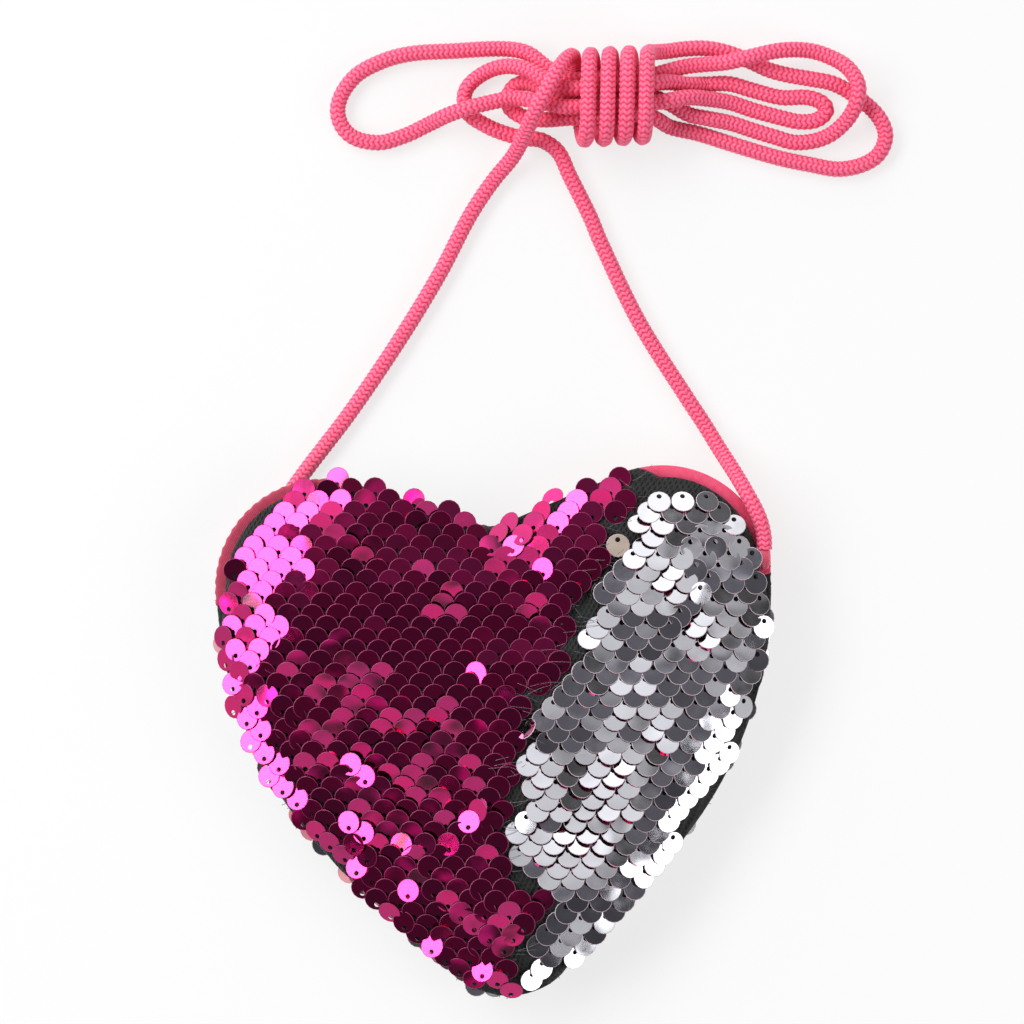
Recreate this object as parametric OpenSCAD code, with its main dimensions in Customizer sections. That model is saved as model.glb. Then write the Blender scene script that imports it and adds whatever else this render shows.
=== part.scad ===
// Heart-shaped crossbody coin purse with flip sequins on both sides, a zip round one lobe
// and a braided cord strap that is tied up in a hank. The purse lies on its back panel:
// +Z is its front, +Y the side that the strap leaves it by, and z = 0 the table.

/* [Heart] */
// Width over both lobes
heart_w = 118; // [110:1:130]
// Height from the lobe tops to the tip
heart_h = 111; // [104:1:120]
// Radius of the lobes' shoulders
lobe_r = 23; // [21:0.5:25]
// Radius of the long flanks below the lobes
flank_r = 86; // [80:1:95]
// Radius of the tip
tip_r = 16; // [13:0.5:19]
// Radius at the bottom of the cleft
cleft_r = 8; // [6:0.5:10]
// Depth of the cleft below the lobe tops
cleft_d = 11.5; // [10:0.5:14]

/* [Pouch] */
// Height of the seam between the panels above the table
seam_z = 9; // [8:0.25:10]
// Thickness of the seam between the two rims
seam_t = 1.4; // [1.2:0.1:2]
// Width of the seam strips
seam_w = 2.4; // [2:0.1:3]
// Rise of the front panel above its rim
dome_h = 9.5; // [7:0.5:12]
// Thickness of the sequin cloth with its wadding
cloth_t = 0.8; // [0.6:0.1:1.2]
// Thickness of the linings
lining_t = 0.5; // [0.3:0.1:0.8]
// Gap between a lining and its panel
lining_gap = 0.4; // [0.3:0.1:0.6]
// Width of bare tape that shows beside the front panel at the zip
band_w = 2.6; // [1.5:0.1:3.5]

/* [Sequins] */
// Diameter of a sequin
sequin_d = 5; // [4:0.1:5.1]
// Thickness of a sequin
sequin_t = 0.2; // [0.1:0.05:0.2]
// Diameter of the thread hole
sequin_hole_d = 1.1; // [0.8:0.1:1.4]
// Distance from a sequin's centre to its thread hole
sequin_hole_off = 1.25; // [1:0.05:1.5]
// Spacing of the threads along a row
sequin_pitch_x = 5.2; // [5.2:0.1:6]
// Spacing of the rows
sequin_pitch_y = 2.7; // [2.7:0.1:3.2]
// Height of a sequin's centre above its cloth
sequin_lift = 0.6; // [0.55:0.05:0.9]

/* [Zip] */
// Radius of the arc that the teeth follow
zip_r = 24; // [23:0.25:24.5]
// Distance between the teeth's arc and the lobe's edge beside the closed slider
zip_edge = 7.75; // [7.25:0.25:8.5]
// Height of the tape's middle above the table
zip_z = 7; // [6.75:0.25:7.5]
// Thickness of the tape
tape_t = 0.5; // [0.4:0.05:0.6]
// Gap between the two tapes
tape_gap = 1.6; // [1.4:0.1:1.8]
// Pitch of the teeth on one tape
tooth_pitch = 2; // [1.8:0.1:2.4]
// Length of a tooth along the zip
tooth_w = 0.8; // [0.6:0.05:0.85]
// Length of a tooth across the zip
tooth_l = 2.2; // [2:0.1:2.4]
// Height of a tooth
tooth_h = 1.2; // [1:0.1:1.4]
// Length of the slider along the zip
slider_l = 7.6; // [7:0.1:9]
// Width of the slider
slider_w = 6; // [5.6:0.1:6.2]
// Thickness of the slider's plates
slider_t = 0.8; // [0.6:0.05:0.9]
// Length of the pull from its hinge to its end
pull_l = 12; // [10:0.5:13]
// Width of the pull
pull_w = 4.4; // [4:0.1:4.8]
// Thickness of the pull
pull_t = 1; // [0.8:0.05:1.1]
// Diameter of the eye at the pull's end
pull_eye_d = 2.2; // [1.8:0.1:2.4]

/* [Strap] */
// Diameter of the braided cord
cord_d = 3.5; // [3:0.1:3.5]
// Length of the sewn tabs that hold the cord's ends
tab_l = 4; // [3:0.25:5]
// Width of the tabs
tab_w = 2.6; // [2.2:0.1:2.8]
// Height of the tabs
tab_h = 3.2; // [2.8:0.1:3.4]

/* [Hidden] */

// One overrun for all cuts
over = 1;
// Sides of the rounded edges of small exact parts
round_fn = 48;
// Clearance between pieces that are sewn on each other
sewn_gap = 0.05;

// Centres of the outline's arcs on the right half
lobe_c = [heart_w / 2 - lobe_r, heart_h / 2 - lobe_r];
flank_c = [lobe_c.x + lobe_r - flank_r, lobe_c.y];
tip_c = [0, tip_r - heart_h / 2];
cleft_c = [0, heart_h / 2 - cleft_d + cleft_r];
// Angle of the straight between the cleft and a lobe
cleft_span = lobe_c - cleft_c;
cleft_a = atan2(lobe_c.x, -cleft_span.y) - acos((lobe_r + cleft_r) / norm(cleft_span));
// Angle of the straight between a flank and the tip
flank_span = tip_c - flank_c;
flank_a = atan2(-flank_span.y, flank_span.x) - acos((flank_r - tip_r) / norm(flank_span));
// Steps on the outline's arcs: cleft, lobe, flank and tip
cleft_n = 3;
lobe_n = 12;
flank_n = 7;
tip_n = 4;
// Middle that the pouch's rings shrink to
mid = [0, 0];
// Rings of a panel, as shares of the way from the middle to the outline
front_ring_shares = [0.3, 0.55, 0.72, 0.84, 0.92, 0.97, 1];
back_ring_shares = [0.3, 0.6, 0.7, 0.8, 0.88, 0.95, 1];
lining_ring_shares = [0.4, 0.7, 0.86, 0.96];
// Shape of the front panel's dome
dome_power = 3;
dome_root = 0.6;
// Share of the back panel that lies flat, and how the rest curves up
flat_share = 0.6;
back_power = 1.3;
// Heights of the two rims
front_rim_z = seam_z + seam_t / 2;
back_rim_z = seam_z - seam_t / 2;
// Width that the lining stays in from the rim
lining_in = 3;

// The front panel's edge stands in by band_w between these angles of the right lobe
band_from = -20;
band_to = 100;
band_ramp = 10;

// Sequins reach to this share of the way to the rim
front_reach_share = 0.955;
back_reach_share = 0.93;
// Slope of a sequin against its cloth, where the rows overlap like shingles
shingle = 0.16;
// Step for the cloth's slope under a sequin
slope_step = 0.4;
// Line between the magenta sequins, flipped up, and the silver ones, flipped down
zone_shares = [
  [0.27, 0.475], [0.22, 0.35], [0.175, 0.27], [0.145, 0.21], [0.11, 0.1], [0.055, 0.06],
  [0.025, -0.05], [0.015, -0.13], [-0.01, -0.185], [0.005, -0.28], [0.075, -0.325],
  [0.04, -0.38], [0.01, -0.435]
];
// Thread of the one sequin that stands half flipped, as shares of the heart
loose_shares = [0.225, 0.362];
loose_lift = 1.3;
// Bare ring round the loose sequin
loose_clear = 2.3;

// The zip's arc goes through one spot beside the closed slider. Its bearing from the lobe's
// centre and its angle on the arc give the arc's centre
spot_bearing = 22;
spot_a = 35;
zip_c = lobe_c + (lobe_r - zip_edge) * [cos(spot_bearing), sin(spot_bearing)]
  - zip_r * [cos(spot_a), sin(spot_a)];
// Angle where the tapes start
zip_from = 14;
// Angle that the pouch's window stands clear of the tapes' ends
window_a = 0.8;
// How far the outer tape may reach from the teeth, and the inner tape's width
tape_reach = 10.5;
tape_w = 3;
// Depth of the inner tape's skirt
skirt_d = 3;
// Lap of the outer tape under the front panel
tape_lap = 1.2;
// Angle between the tapes' ends and the stops
stop_in = 2.2;
// Spot beside the cleft that the far stop looks to, as shares of the lobe's and the heart's size.
// It sets the angle where the tapes end
zip_end_shares = [0.245, 0.353];
zip_end = [zip_end_shares.x * lobe_c.x, zip_end_shares.y * heart_h];
zip_to = stop_in + atan2(zip_end.y - zip_c.y, zip_end.x - zip_c.x);
// Overlap of the two rows of teeth at the middle
tooth_mesh = 0.5;
// Gap between the tape's face and the teeth
tooth_gap = 0.02;
// Shares of a tooth's length along the zip: its head's radius and half its neck
head_share = 0.55;
neck_share = 0.36;
// Size of a stop
stop_w = 1.4;

// Clearance of the slider round the tape and the teeth
slide_gap = 0.25;
slider_flange = 0.7;
// Shares of the slider's width: its blunt ends and the fillets of its corners
nose_share = 0.82;
fillet_share = 0.225;
// Angle of one pitch of the teeth
tooth_step = tooth_pitch / zip_r * 180 / PI;
// Angles that the slider covers when the zip is closed
slider_a = slider_l / zip_r * 180 / PI;
slider_from = zip_from + 2 * stop_in;
slider_mid = slider_from + slider_a / 2;
// Post that parts the teeth, as a share of the slider's length
post_w = 1;
post_share = 0.36;
// Teeth run from behind the post to the far stop
teeth_from = slider_from + slider_a / 2;
teeth_n = floor((zip_to - 2 * stop_in - teeth_from) / tooth_step);
// Heights of the slider's plates
slider_top = zip_z + tape_t / 2 + slide_gap;
slider_low = zip_z - tape_t / 2 - tooth_gap - tooth_h - slide_gap;
// Bail under the slider
bail_d = 0.9;
bail_r = 2.2;
bail_z = slider_low - slider_t + bail_d / 4;
// The pull's bar runs through the bail
bar_d = 0.9;
bar_gap = 0.12;
bar_z = bail_z - bail_r + bail_d / 2 + bar_gap + bar_d / 2;
// The pull's arms leave the bail's room free
pull_slot_w = 2.2;
pull_slot_l = 3.4;
eye_in = 2.4;

// Where the cord's ends are sewn
right_tab = [lobe_c.x + lobe_r - tab_w / 2, lobe_c.y + sewn_gap + tab_l / 2];
left_tab_in = 2.1;
left_tab_up = 5.2;
left_tab = [-right_tab.x + left_tab_in, lobe_c.y + left_tab_up];
left_tab_z = 2.2;
left_tab_a = 50;

cord_r = cord_d / 2;
// Distance between rings of the cord on its legs and in the hank
leg_pitch = 8.5;
hank_pitch = 3;

// Route of the cord. It climbs from the table at the left shoulder to the hank
left_route = [
  [-54.3, 39.3, 3.8], [-51.6, 42.4, 3.8], [-46.5, 48.5, 2.4], [-39, 58, 1.75],
  [-29, 70, 1.75], [-17.5, 85.5, 1.75], [-8.5, 99, 1.75], [-2.5, 109.5, 1.75], [0.5, 114, 1.75]
];
// It crosses over the bundle before it winds round it
cross_route = [
  [4, 118.5, 1.9], [8, 122.8, 4], [10.8, 127.2, 8.4], [13, 131.3, 12.6], [15.8, 135.8, 14.4],
  [18.8, 140.8, 12.8]
];
// Turns round the bundle: middle of the first, half width, half height, pitch and count
wind_at = [21.5, 134.5, 7.95];
wind_w = 9;
wind_h = 6.2;
wind_pitch = 4.1;
wind_n = 4;
wind_steps = 8;
wind_power = 0.75;
function squarish(t) = sign(t) * pow(abs(t), wind_power);
wind_route = [
  for (i = [0:wind_n * wind_steps]) let (a = -360 * i / wind_steps) wind_at
    + [wind_pitch * i / wind_steps, wind_w * squarish(cos(a)), wind_h * squarish(sin(a))]
];
// Loops to the right and to the left of the turns, in the order that the cord runs
right_loop_1 = [
  [39, 143.8, 4.6], [42, 144.1, 2.4], [46, 144.5, 1.75], [50.5, 144.4, 1.75],
  [55, 143.3, 1.75], [60, 141.1, 1.75], [63.5, 139.3, 1.75], [67.5, 138, 1.75],
  [72.5, 136.9, 1.75], [77.5, 135.6, 1.75], [82.5, 132.4, 1.75], [86.8, 128, 1.75],
  [88, 123.5, 1.75], [85.3, 119.2, 1.75], [78.5, 117.3, 1.75], [71, 118.7, 1.75],
  [64.5, 120.4, 1.75], [55.5, 123.5, 1.75], [48, 126.2, 1.75], [42, 127.8, 2.6],
  [39.5, 129.2, 4.9], [36.5, 130.4, 6.3], [28, 130.5, 6.3], [20, 130.4, 6.3]
];
left_loop_1 = [
  [15, 130.4, 5], [10.5, 131.4, 3], [7.5, 134.4, 1.75], [9, 138, 1.9], [12.5, 138.4, 3.2],
  [16, 136, 5.2], [20, 134.7, 6.1], [28, 134.5, 6.1], [35, 134.5, 6.1]
];
right_loop_2 = [
  [38.5, 134.1, 5.8], [42, 132.6, 5.5], [46, 130.2, 4.4], [50, 129.2, 3.9], [55, 128.1, 2.4],
  [60, 126.3, 1.8], [64, 124.9, 1.75], [69, 123.4, 1.75], [75, 124.2, 1.9], [79.5, 127.3, 3.8],
  [81.9, 131.3, 6], [82.3, 135, 6], [80.3, 138.8, 4.4], [77, 141.2, 3], [72.5, 142.8, 3.2],
  [66.5, 143, 5], [60.5, 142, 6], [55, 140.9, 5.6], [50, 140.8, 3.9], [46, 140.6, 3.2],
  [42, 139.7, 4], [38.5, 138.8, 5.4], [35, 138.5, 6.3], [28, 138.5, 6.3], [20, 138.8, 6.3]
];
left_loop_2 = [
  [16, 141.6, 5], [12, 145, 3.2], [7, 146.2, 1.75], [-4, 146.2, 1.75], [-13, 146, 1.75],
  [-19.5, 144.5, 1.75], [-25.5, 141.2, 1.75], [-29, 135, 1.75], [-27, 129.5, 1.75],
  [-21, 127.3, 1.75], [-15, 128.5, 1.75], [-9.5, 130.8, 2], [-5.5, 132.3, 4.6],
  [-1, 133.5, 6.2], [4.5, 134.6, 6.3], [9, 135.1, 6.8], [14, 134, 8.8], [20, 132.5, 10],
  [28, 132.5, 10], [35, 132.5, 10]
];
right_loop_3 = [
  [39, 132.6, 9.7], [42, 133, 9.7], [46, 133.5, 8], [50, 133.3, 5.2], [55, 132.5, 2.8],
  [60, 130.7, 1.75], [66, 128.8, 1.75], [70, 127.8, 1.75], [73.8, 128.2, 1.75],
  [75.6, 130.5, 1.75], [72.3, 132.8, 1.75], [66, 133.2, 1.75], [60, 135, 1.75],
  [55, 136.6, 1.75], [50, 136.7, 1.8], [46, 136.6, 4.5], [42, 137, 7.4], [38.5, 136.7, 9.7],
  [35, 136.5, 10], [28, 136.5, 10], [20, 136.5, 10]
];
left_loop_3 = [
  [16, 138.3, 9.4], [12, 141, 7.2], [7, 142.2, 4.4], [2, 140.8, 2], [-1.5, 137.4, 1.75],
  [-1.2, 133, 1.75], [2.5, 130, 1.75], [6.5, 128.1, 1.75], [10.5, 126.9, 1.75],
  [14.5, 126.2, 1.75], [17.8, 123.6, 1.75], [20, 118.5, 1.75]
];
// It leaves the hank, runs back to the purse and bends over the right shoulder's edge
right_route = [
  [24, 109.5, 1.75], [26, 104, 1.75], [33.5, 86.5, 1.75], [43.5, 69, 1.75], [46.5, 64, 1.75],
  [49.5, 58.5, 3.2], [52.5, 53, 7.2], [54.8, 48.3, 10.6], [56.8, 43.8, 11.5],
  [57.7, 39.9, 11.45], [57.7, 36.6, 11.45]
];
hank_route = concat(
  cross_route, wind_route, right_loop_1, left_loop_1, right_loop_2, left_loop_2, right_loop_3,
  left_loop_3
);
route = concat(left_route, hank_route, right_route);
left_end = len(left_route) - 1;
right_start = len(left_route) + len(hank_route);

// Functions of the outline

// Points of an arc about c from angle a to angle b in n steps
function arc(c, r, a, b, n) =
  [for (i = [0:n]) let (t = a + (b - a) * i / n) c + r * [cos(t), sin(t)]];

// Share of the band's width at an angle of the right lobe
function band_share(a) =
  max(0, min(1, (a - band_from) / band_ramp, (band_to - a) / band_ramp));

// Arc of a lobe whose inset grows by the band where the zip runs
function lobe_arc(inset, band) =
  [for (i = [0:lobe_n]) let (
    a = 90 + cleft_a - (90 + cleft_a) * i / lobe_n,
    r = lobe_r - inset - band * band_share(a)
  ) lobe_c + r * [cos(a), sin(a)]];

// Right half of the outline from the cleft to the tip, moved in by inset
function half_outline(inset, band) = concat(
  arc(cleft_c, cleft_r + inset, -90, cleft_a - 90, cleft_n),
  lobe_arc(inset, band),
  arc(flank_c, flank_r - inset, -flank_a / flank_n, -flank_a, flank_n - 1),
  arc(tip_c, tip_r - inset, -flank_a, -90, tip_n)
);

function mirrored(points) =
  [for (i = [len(points) - 2:-1:1]) [-points[i].x, points[i].y]];

// Whole outline, counter-clockwise
function outline(inset = 0, band = 0) = let (
  right = half_outline(inset, band),
  left = half_outline(inset, 0),
  loop = concat(right, mirrored(left))
) [for (i = [len(loop) - 1:-1:0]) loop[i]];

front_outline = outline(0, band_w);
back_outline = outline();

// Distance from the middle to an outline in direction d
function reach(points, d) = max([
  for (i = [0:len(points) - 1]) let (
    a = points[i] - mid,
    b = points[(i + 1) % len(points)] - mid,
    e = b - a,
    det = d.x * e.y - d.y * e.x,
    s = det == 0 ? -1 : (a.x * e.y - a.y * e.x) / det,
    u = det == 0 ? -1 : (a.x * d.y - a.y * d.x) / det
  ) s > 0 && u >= 0 && u <= 1 ? s : 0
]);

// Share of the way from the middle to the outline at point p
function share_at(points, p) = let (q = p - mid, l = norm(q))
  l < over / 100 ? 0 : l / reach(points, q / l);

// Heights of the panels' faces at a share of the way out
function dome(s) = pow(max(0, 1 - pow(min(s, 1), dome_power)), dome_root);
function front_face(s) = front_rim_z + cloth_t + dome_h * dome(s);
function back_curve(s) = pow(max(0, (s - flat_share) / (1 - flat_share)), back_power);
function back_face(s) = (back_rim_z - cloth_t) * back_curve(s);

// Rings of one face: the outline shrunk to each share, at heights given per share
function rings(points, shares, heights, shrink = 1) = [
  for (k = [0:len(shares) - 1]) [
    for (p = points) let (q = mid + (p - mid) * shares[k] * shrink) [q.x, q.y, heights[k]]
  ]
];

function reversed(list) = [for (i = [len(list) - 1:-1:0]) list[i]];

// Closed skin over a stack of equal rings, from the upper pole to the lower pole
module skin(top, stack, bottom) {
  n = len(stack[0]);
  m = len(stack);
  points = concat([top], [for (ring = stack) each ring], [bottom]);
  last = len(points) - 1;
  faces = concat(
    [for (i = [0:n - 1]) [0, 1 + (i + 1) % n, 1 + i]],
    [for (k = [0:m - 2], i = [0:n - 1]) let (a = 1 + k * n + i, b = 1 + k * n + (i + 1) % n)
      each [[a, b, b + n], [a, b + n, a + n]]],
    [for (i = [0:n - 1]) [last, 1 + (m - 1) * n + i, 1 + (m - 1) * n + (i + 1) % n]]
  );
  polyhedron(points = points, faces = faces, convexity = 6);
}

// Shell between an upper and a lower face over the same outline
module shell(points, shares, upper, lower, upper_shrink = 1, lower_shrink = 1) {
  top = [mid.x, mid.y, upper[0]];
  bottom = [mid.x, mid.y, lower[0]];
  upper_rings = rings(points, shares, upper, upper_shrink);
  lower_rings = rings(points, shares, lower, lower_shrink);
  skin(top, concat(upper_rings, reversed(lower_rings)), bottom);
}

// Flat strip along the outline between two insets
module strip(inset, width, low, height, band = 0) {
  translate([0, 0, low]) linear_extrude(height) difference() {
    polygon(outline(inset, band));
    polygon(outline(inset + width, band));
  }
}

// Wedge about the zip's centre, wide enough for the whole pouch
module wedge(from, to, low, height) {
  far = heart_w;
  steps = 6;
  translate([zip_c.x, zip_c.y, low]) linear_extrude(height)
    polygon(concat([[0, 0]], arc([0, 0], far, from, to, steps)));
}

// Part of a wedge that lies right of the cleft and within reach of the teeth
module zip_sector(from, to, inner, low, height) {
  intersection() {
    wedge(from, to, low, height);
    translate([zip_c.x, zip_c.y, low]) difference() {
      cylinder(h = height, r = zip_r + tape_reach, $fn = 96);
      translate([0, 0, -over]) cylinder(h = height + 2 * over, r = inner, $fn = 96);
    }
    translate([sewn_gap, -heart_h, low]) cube([heart_w, 2 * heart_h, height]);
  }
}

// Cloth

// Front panel: a puffy dome of black mesh over wadding
module front_panel() {
  shares = front_ring_shares;
  // The inside rises a little less, so that the cloth keeps its thickness on the slopes
  inner_dome = dome_h - cloth_t / 4;
  color([0.16, 0.17, 0.17]) shell(
    front_outline, shares,
    [for (s = shares) front_face(s)],
    [for (s = shares) front_rim_z + inner_dome * dome(s)],
    1, 1 - 2 * cloth_t / heart_w
  );
}

// Back panel: flat on the table, curved up to the seam, with a window for the zip
module back_panel() {
  shares = back_ring_shares;
  color([0.16, 0.17, 0.17]) difference() {
    shell(
      back_outline, shares,
      [for (s = shares) back_face(s) + cloth_t],
      [for (s = shares) back_face(s)]
    );
    zip_sector(
      zip_from - window_a, zip_to + window_a, zip_r - tape_gap / 2 - tape_w - sewn_gap,
      -over, heart_h
    );
  }
}

// Pink lining under the front panel, sewn in along its rim
module front_lining() {
  shares = lining_ring_shares;
  low = front_rim_z - cloth_t - lining_gap - lining_t;
  color([0.9, 0.4, 0.55]) shell(
    outline(lining_in, band_w), shares,
    [for (s = shares) low + lining_t + dome_h * dome(s)],
    [for (s = shares) low + dome_h * dome(s)]
  );
}

// Pink lining over the back panel, cut away for the zip
module back_lining() {
  shares = lining_ring_shares;
  low = cloth_t + lining_gap;
  color([0.9, 0.4, 0.55]) difference() {
    shell(
      outline(lining_in), shares,
      [for (s = shares) low + lining_t + back_face(s)],
      [for (s = shares) low + back_face(s)]
    );
    zip_sector(
      zip_from - 2 * window_a, zip_to + 2 * window_a,
      zip_r - tape_gap / 2 - tape_w - lining_gap - tape_t, -over, heart_h
    );
  }
}

// Side of the outline above a line, for splitting the seam
module above(y, low, height) {
  translate([-heart_w, y, low]) cube([2 * heart_w, heart_h, height]);
}

// Pink strip in the seam along the top edge, from the left shoulder to the zip
module top_facing() {
  low = seam_z - seam_t / 2 + sewn_gap;
  high = seam_t - 2 * sewn_gap;
  color([0.95, 0.3, 0.5]) difference() {
    intersection() {
      strip(0, seam_w, low, high);
      above(lobe_c.y, low, high);
    }
    zip_sector(zip_from - window_a, zip_to + window_a, lobe_r, -over, heart_h);
    translate([lobe_c.x, -over, low - over]) cube([heart_w, heart_h, high + 2 * over]);
  }
}

// Seam between the two panels down the flanks and round the tip
module side_seam() {
  low = seam_z - seam_t / 2 + sewn_gap;
  high = seam_t - 2 * sewn_gap;
  color([0.2, 0.2, 0.2]) difference() {
    strip(0, seam_w, low, high);
    difference() {
      above(lobe_c.y - sewn_gap, low - over, high + 2 * over);
      translate([lobe_c.x, lobe_c.y - over, low - 2 * over])
        cube([heart_w, heart_h, high + 4 * over]);
    }
    zip_sector(zip_from - window_a, 2 * zip_to, lobe_r / 2, -over, heart_h);
  }
}

// Sequins

// One sequin with its thread hole at the origin's side given by way
module sequin(way) {
  translate([0, 0, -sequin_t / 2]) linear_extrude(sequin_t) difference() {
    circle(d = sequin_d, $fn = 32);
    translate([0, -way * sequin_hole_off]) circle(d = sequin_hole_d, $fn = 16);
  }
}

// Turns a flat piece so that its normal follows n, and keeps its heading
module lean(n) {
  phi = atan2(n.y, n.x);
  theta = atan2(norm([n.x, n.y]), n.z);
  rotate([0, 0, phi]) rotate([0, theta, 0]) rotate([0, 0, -phi]) children();
}

function front_height(p) = front_face(share_at(front_outline, p));
function back_height(p) = back_face(share_at(back_outline, p));

// Line between the zones at height y
function zone_x(y) = heart_w * lookup(y / heart_h, [for (z = zone_shares) [z.y, z.x]]);
function magenta(p) = p.x < zone_x(p.y);

// Threads in staggered rows over a square that holds the heart
cols = ceil(heart_w / 2 / sequin_pitch_x);
rows = ceil(heart_h / 2 / sequin_pitch_y);
threads = [
  for (j = [-rows:rows], i = [-cols:cols])
    [(i + (j % 2 == 0 ? 0 : 0.5)) * sequin_pitch_x, j * sequin_pitch_y]
];

function clear_of_loose(p) =
  norm(p - [loose_shares.x * heart_w, loose_shares.y * heart_h]) >
  sequin_d / 2 + sequin_hole_off + loose_clear;

// No sequin lies across the crease that runs down from the cleft
crease_share = 0.32;
function off_crease(c) = abs(c.x) > sequin_pitch_x / 4 || c.y < crease_share * heart_h;

// A silver sequin stays off where a magenta one stands up from the row below
function free_below(p) = !magenta(p + [-sequin_pitch_x / 2, -sequin_pitch_y])
  && !magenta(p + [sequin_pitch_x / 2, -sequin_pitch_y]);

// Sets one sequin on the front cloth, its thread at p, leaning the given way
module on_front(p, way) {
  c = p + [0, way * sequin_hole_off];
  slope_x = (front_height(c + [slope_step, 0]) - front_height(c - [slope_step, 0]))
    / (2 * slope_step);
  slope_y = (front_height(c + [0, slope_step]) - front_height(c - [0, slope_step]))
    / (2 * slope_step);
  n = [-slope_x, -(slope_y + way * shingle), 1];
  flat_n = [-slope_x, -slope_y, 1] / norm([slope_x, slope_y, 1]);
  translate([c.x, c.y, front_height(c)] + flat_n * sequin_lift) lean(n) sequin(way);
}

// Magenta sequins: flipped up, so each hides its own thread and the row above it
module front_sequins_magenta() {
  color([0.5, 0.05, 0.3])
    for (p = threads) {
      c = p + [0, sequin_hole_off];
      if (magenta(p) && clear_of_loose(p) && off_crease(c)
          && share_at(front_outline, c) < front_reach_share)
        on_front(p, 1);
    }
}

// Silver sequins: flipped down, so they show the other face
module front_sequins_silver() {
  color([0.75, 0.75, 0.78])
    for (p = threads) {
      c = p - [0, sequin_hole_off];
      if (!magenta(p) && free_below(p) && clear_of_loose(p)
          && share_at(front_outline, c) < front_reach_share)
        on_front(p, -1);
    }
}

// Angle beside the zip's ends that has no back sequins
bare_a = 10;

// Back sequins on the part of the back that curves up from the table
module back_sequins() {
  color([0.85, 0.5, 0.6])
    for (p = threads) {
      c = p - [0, sequin_hole_off];
      s = share_at(back_outline, c);
      slope_x = (back_height(c + [slope_step, 0]) - back_height(c - [slope_step, 0]))
        / (2 * slope_step);
      slope_y = (back_height(c + [0, slope_step]) - back_height(c - [0, slope_step]))
        / (2 * slope_step);
      flat_n = [-slope_x, -slope_y, 1] / norm([slope_x, slope_y, 1]);
      away = norm(c - zip_c);
      bearing = atan2(c.y - zip_c.y, c.x - zip_c.x);
      by_zip = away > zip_r - tape_w - sequin_d && bearing > zip_from - bare_a
        && bearing < zip_to + bare_a && c.x > -sequin_d;
      by_tab = norm(c - left_tab) < tab_l + sequin_d;
      lowest = back_height(c) - sequin_lift - sequin_d / 2 * (norm([slope_x, slope_y]) + shingle);
      if (s < back_reach_share && lowest > sequin_t && !by_zip && !by_tab)
        translate([c.x, c.y, back_height(c)] - flat_n * sequin_lift)
          lean([-slope_x, -(slope_y + shingle), 1]) sequin(-1);
    }
}

// One sequin that stands half flipped on its thread
loose_at = [loose_shares.x * heart_w, loose_shares.y * heart_h];
loose_z = front_height(loose_at) + loose_lift;

module loose_sequin() {
  color([0.8, 0.7, 0.62]) translate([loose_at.x, loose_at.y - sequin_hole_off, loose_z])
    sequin(-1);
}

// Zip

// Tape from the teeth out to the edge, up the side and in under the front panel
module zip_tape_outer() {
  low = zip_z - tape_t / 2;
  top = front_rim_z - sewn_gap;
  color([0.98, 0.33, 0.52]) union() {
    intersection() {
      translate([0, 0, low]) linear_extrude(tape_t) polygon(outline());
      zip_sector(zip_from, zip_to, zip_r + tape_gap / 2, low, tape_t);
    }
    intersection() {
      strip(0, tape_t, low, top - low);
      zip_sector(zip_from, zip_to, zip_r, low, top - low);
    }
    intersection() {
      strip(0, band_w + tape_lap, top - tape_t, tape_t);
      zip_sector(zip_from, zip_to, lobe_r / 2, top - tape_t, tape_t);
    }
  }
}

// Tape from the teeth in to the back panel, where it turns down to be sewn on
module zip_tape_inner() {
  outer = zip_r - tape_gap / 2;
  inner = outer - tape_w;
  color([0.98, 0.33, 0.52]) translate([zip_c.x, zip_c.y, 0]) rotate([0, 0, zip_from])
    rotate_extrude(angle = zip_to - zip_from, $fn = 128) union() {
      translate([inner, zip_z - tape_t / 2]) square([tape_w, tape_t]);
      translate([inner, zip_z - tape_t / 2 - skirt_d]) square([tape_t, skirt_d + tape_t / 2]);
    }
}

// One tooth along +X from the tape towards the zip's middle, with a round head
module tooth() {
  head = tooth_w * head_share;
  translate([0, 0, zip_z - tape_t / 2 - tooth_gap - tooth_h]) linear_extrude(tooth_h) union() {
    translate([head - tooth_mesh, 0]) circle(r = head, $fn = 20);
    translate([head - tooth_mesh, -tooth_w * neck_share])
      square([tooth_l - head, 2 * tooth_w * neck_share]);
  }
}

module zip_teeth_outer() {
  color([0.95, 0.25, 0.45]) translate([zip_c.x, zip_c.y, 0]) for (i = [0:teeth_n - 1])
    rotate([0, 0, teeth_from + i * tooth_step]) translate([zip_r, 0, 0]) tooth();
}

module zip_teeth_inner() {
  color([0.95, 0.25, 0.45]) translate([zip_c.x, zip_c.y, 0]) for (i = [0:teeth_n - 1])
    rotate([0, 0, teeth_from + (i + 0.5) * tooth_step]) translate([zip_r, 0, 0])
      rotate([0, 0, 180]) tooth();
}

// Stops: one over both tapes at the far end, and one on each tape at the near end
module stop_block(r_from, r_to, a) {
  translate([zip_c.x, zip_c.y, zip_z - tape_t / 2 - tooth_gap - tooth_h]) rotate([0, 0, a])
    translate([r_from, -stop_w / 2, 0]) cube([r_to - r_from, stop_w, tooth_h]);
}

module zip_bottom_stop() {
  color([0.8, 0.8, 0.82])
    stop_block(zip_r - tooth_l, zip_r + tooth_l, zip_to - stop_in);
}

module zip_top_stop() {
  color([0.8, 0.8, 0.82]) union() {
    stop_block(zip_r - tooth_l, zip_r - tape_gap / 2, zip_from + stop_in);
    stop_block(zip_r + tape_gap / 2, zip_r + tooth_l, zip_from + stop_in);
  }
}

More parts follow.
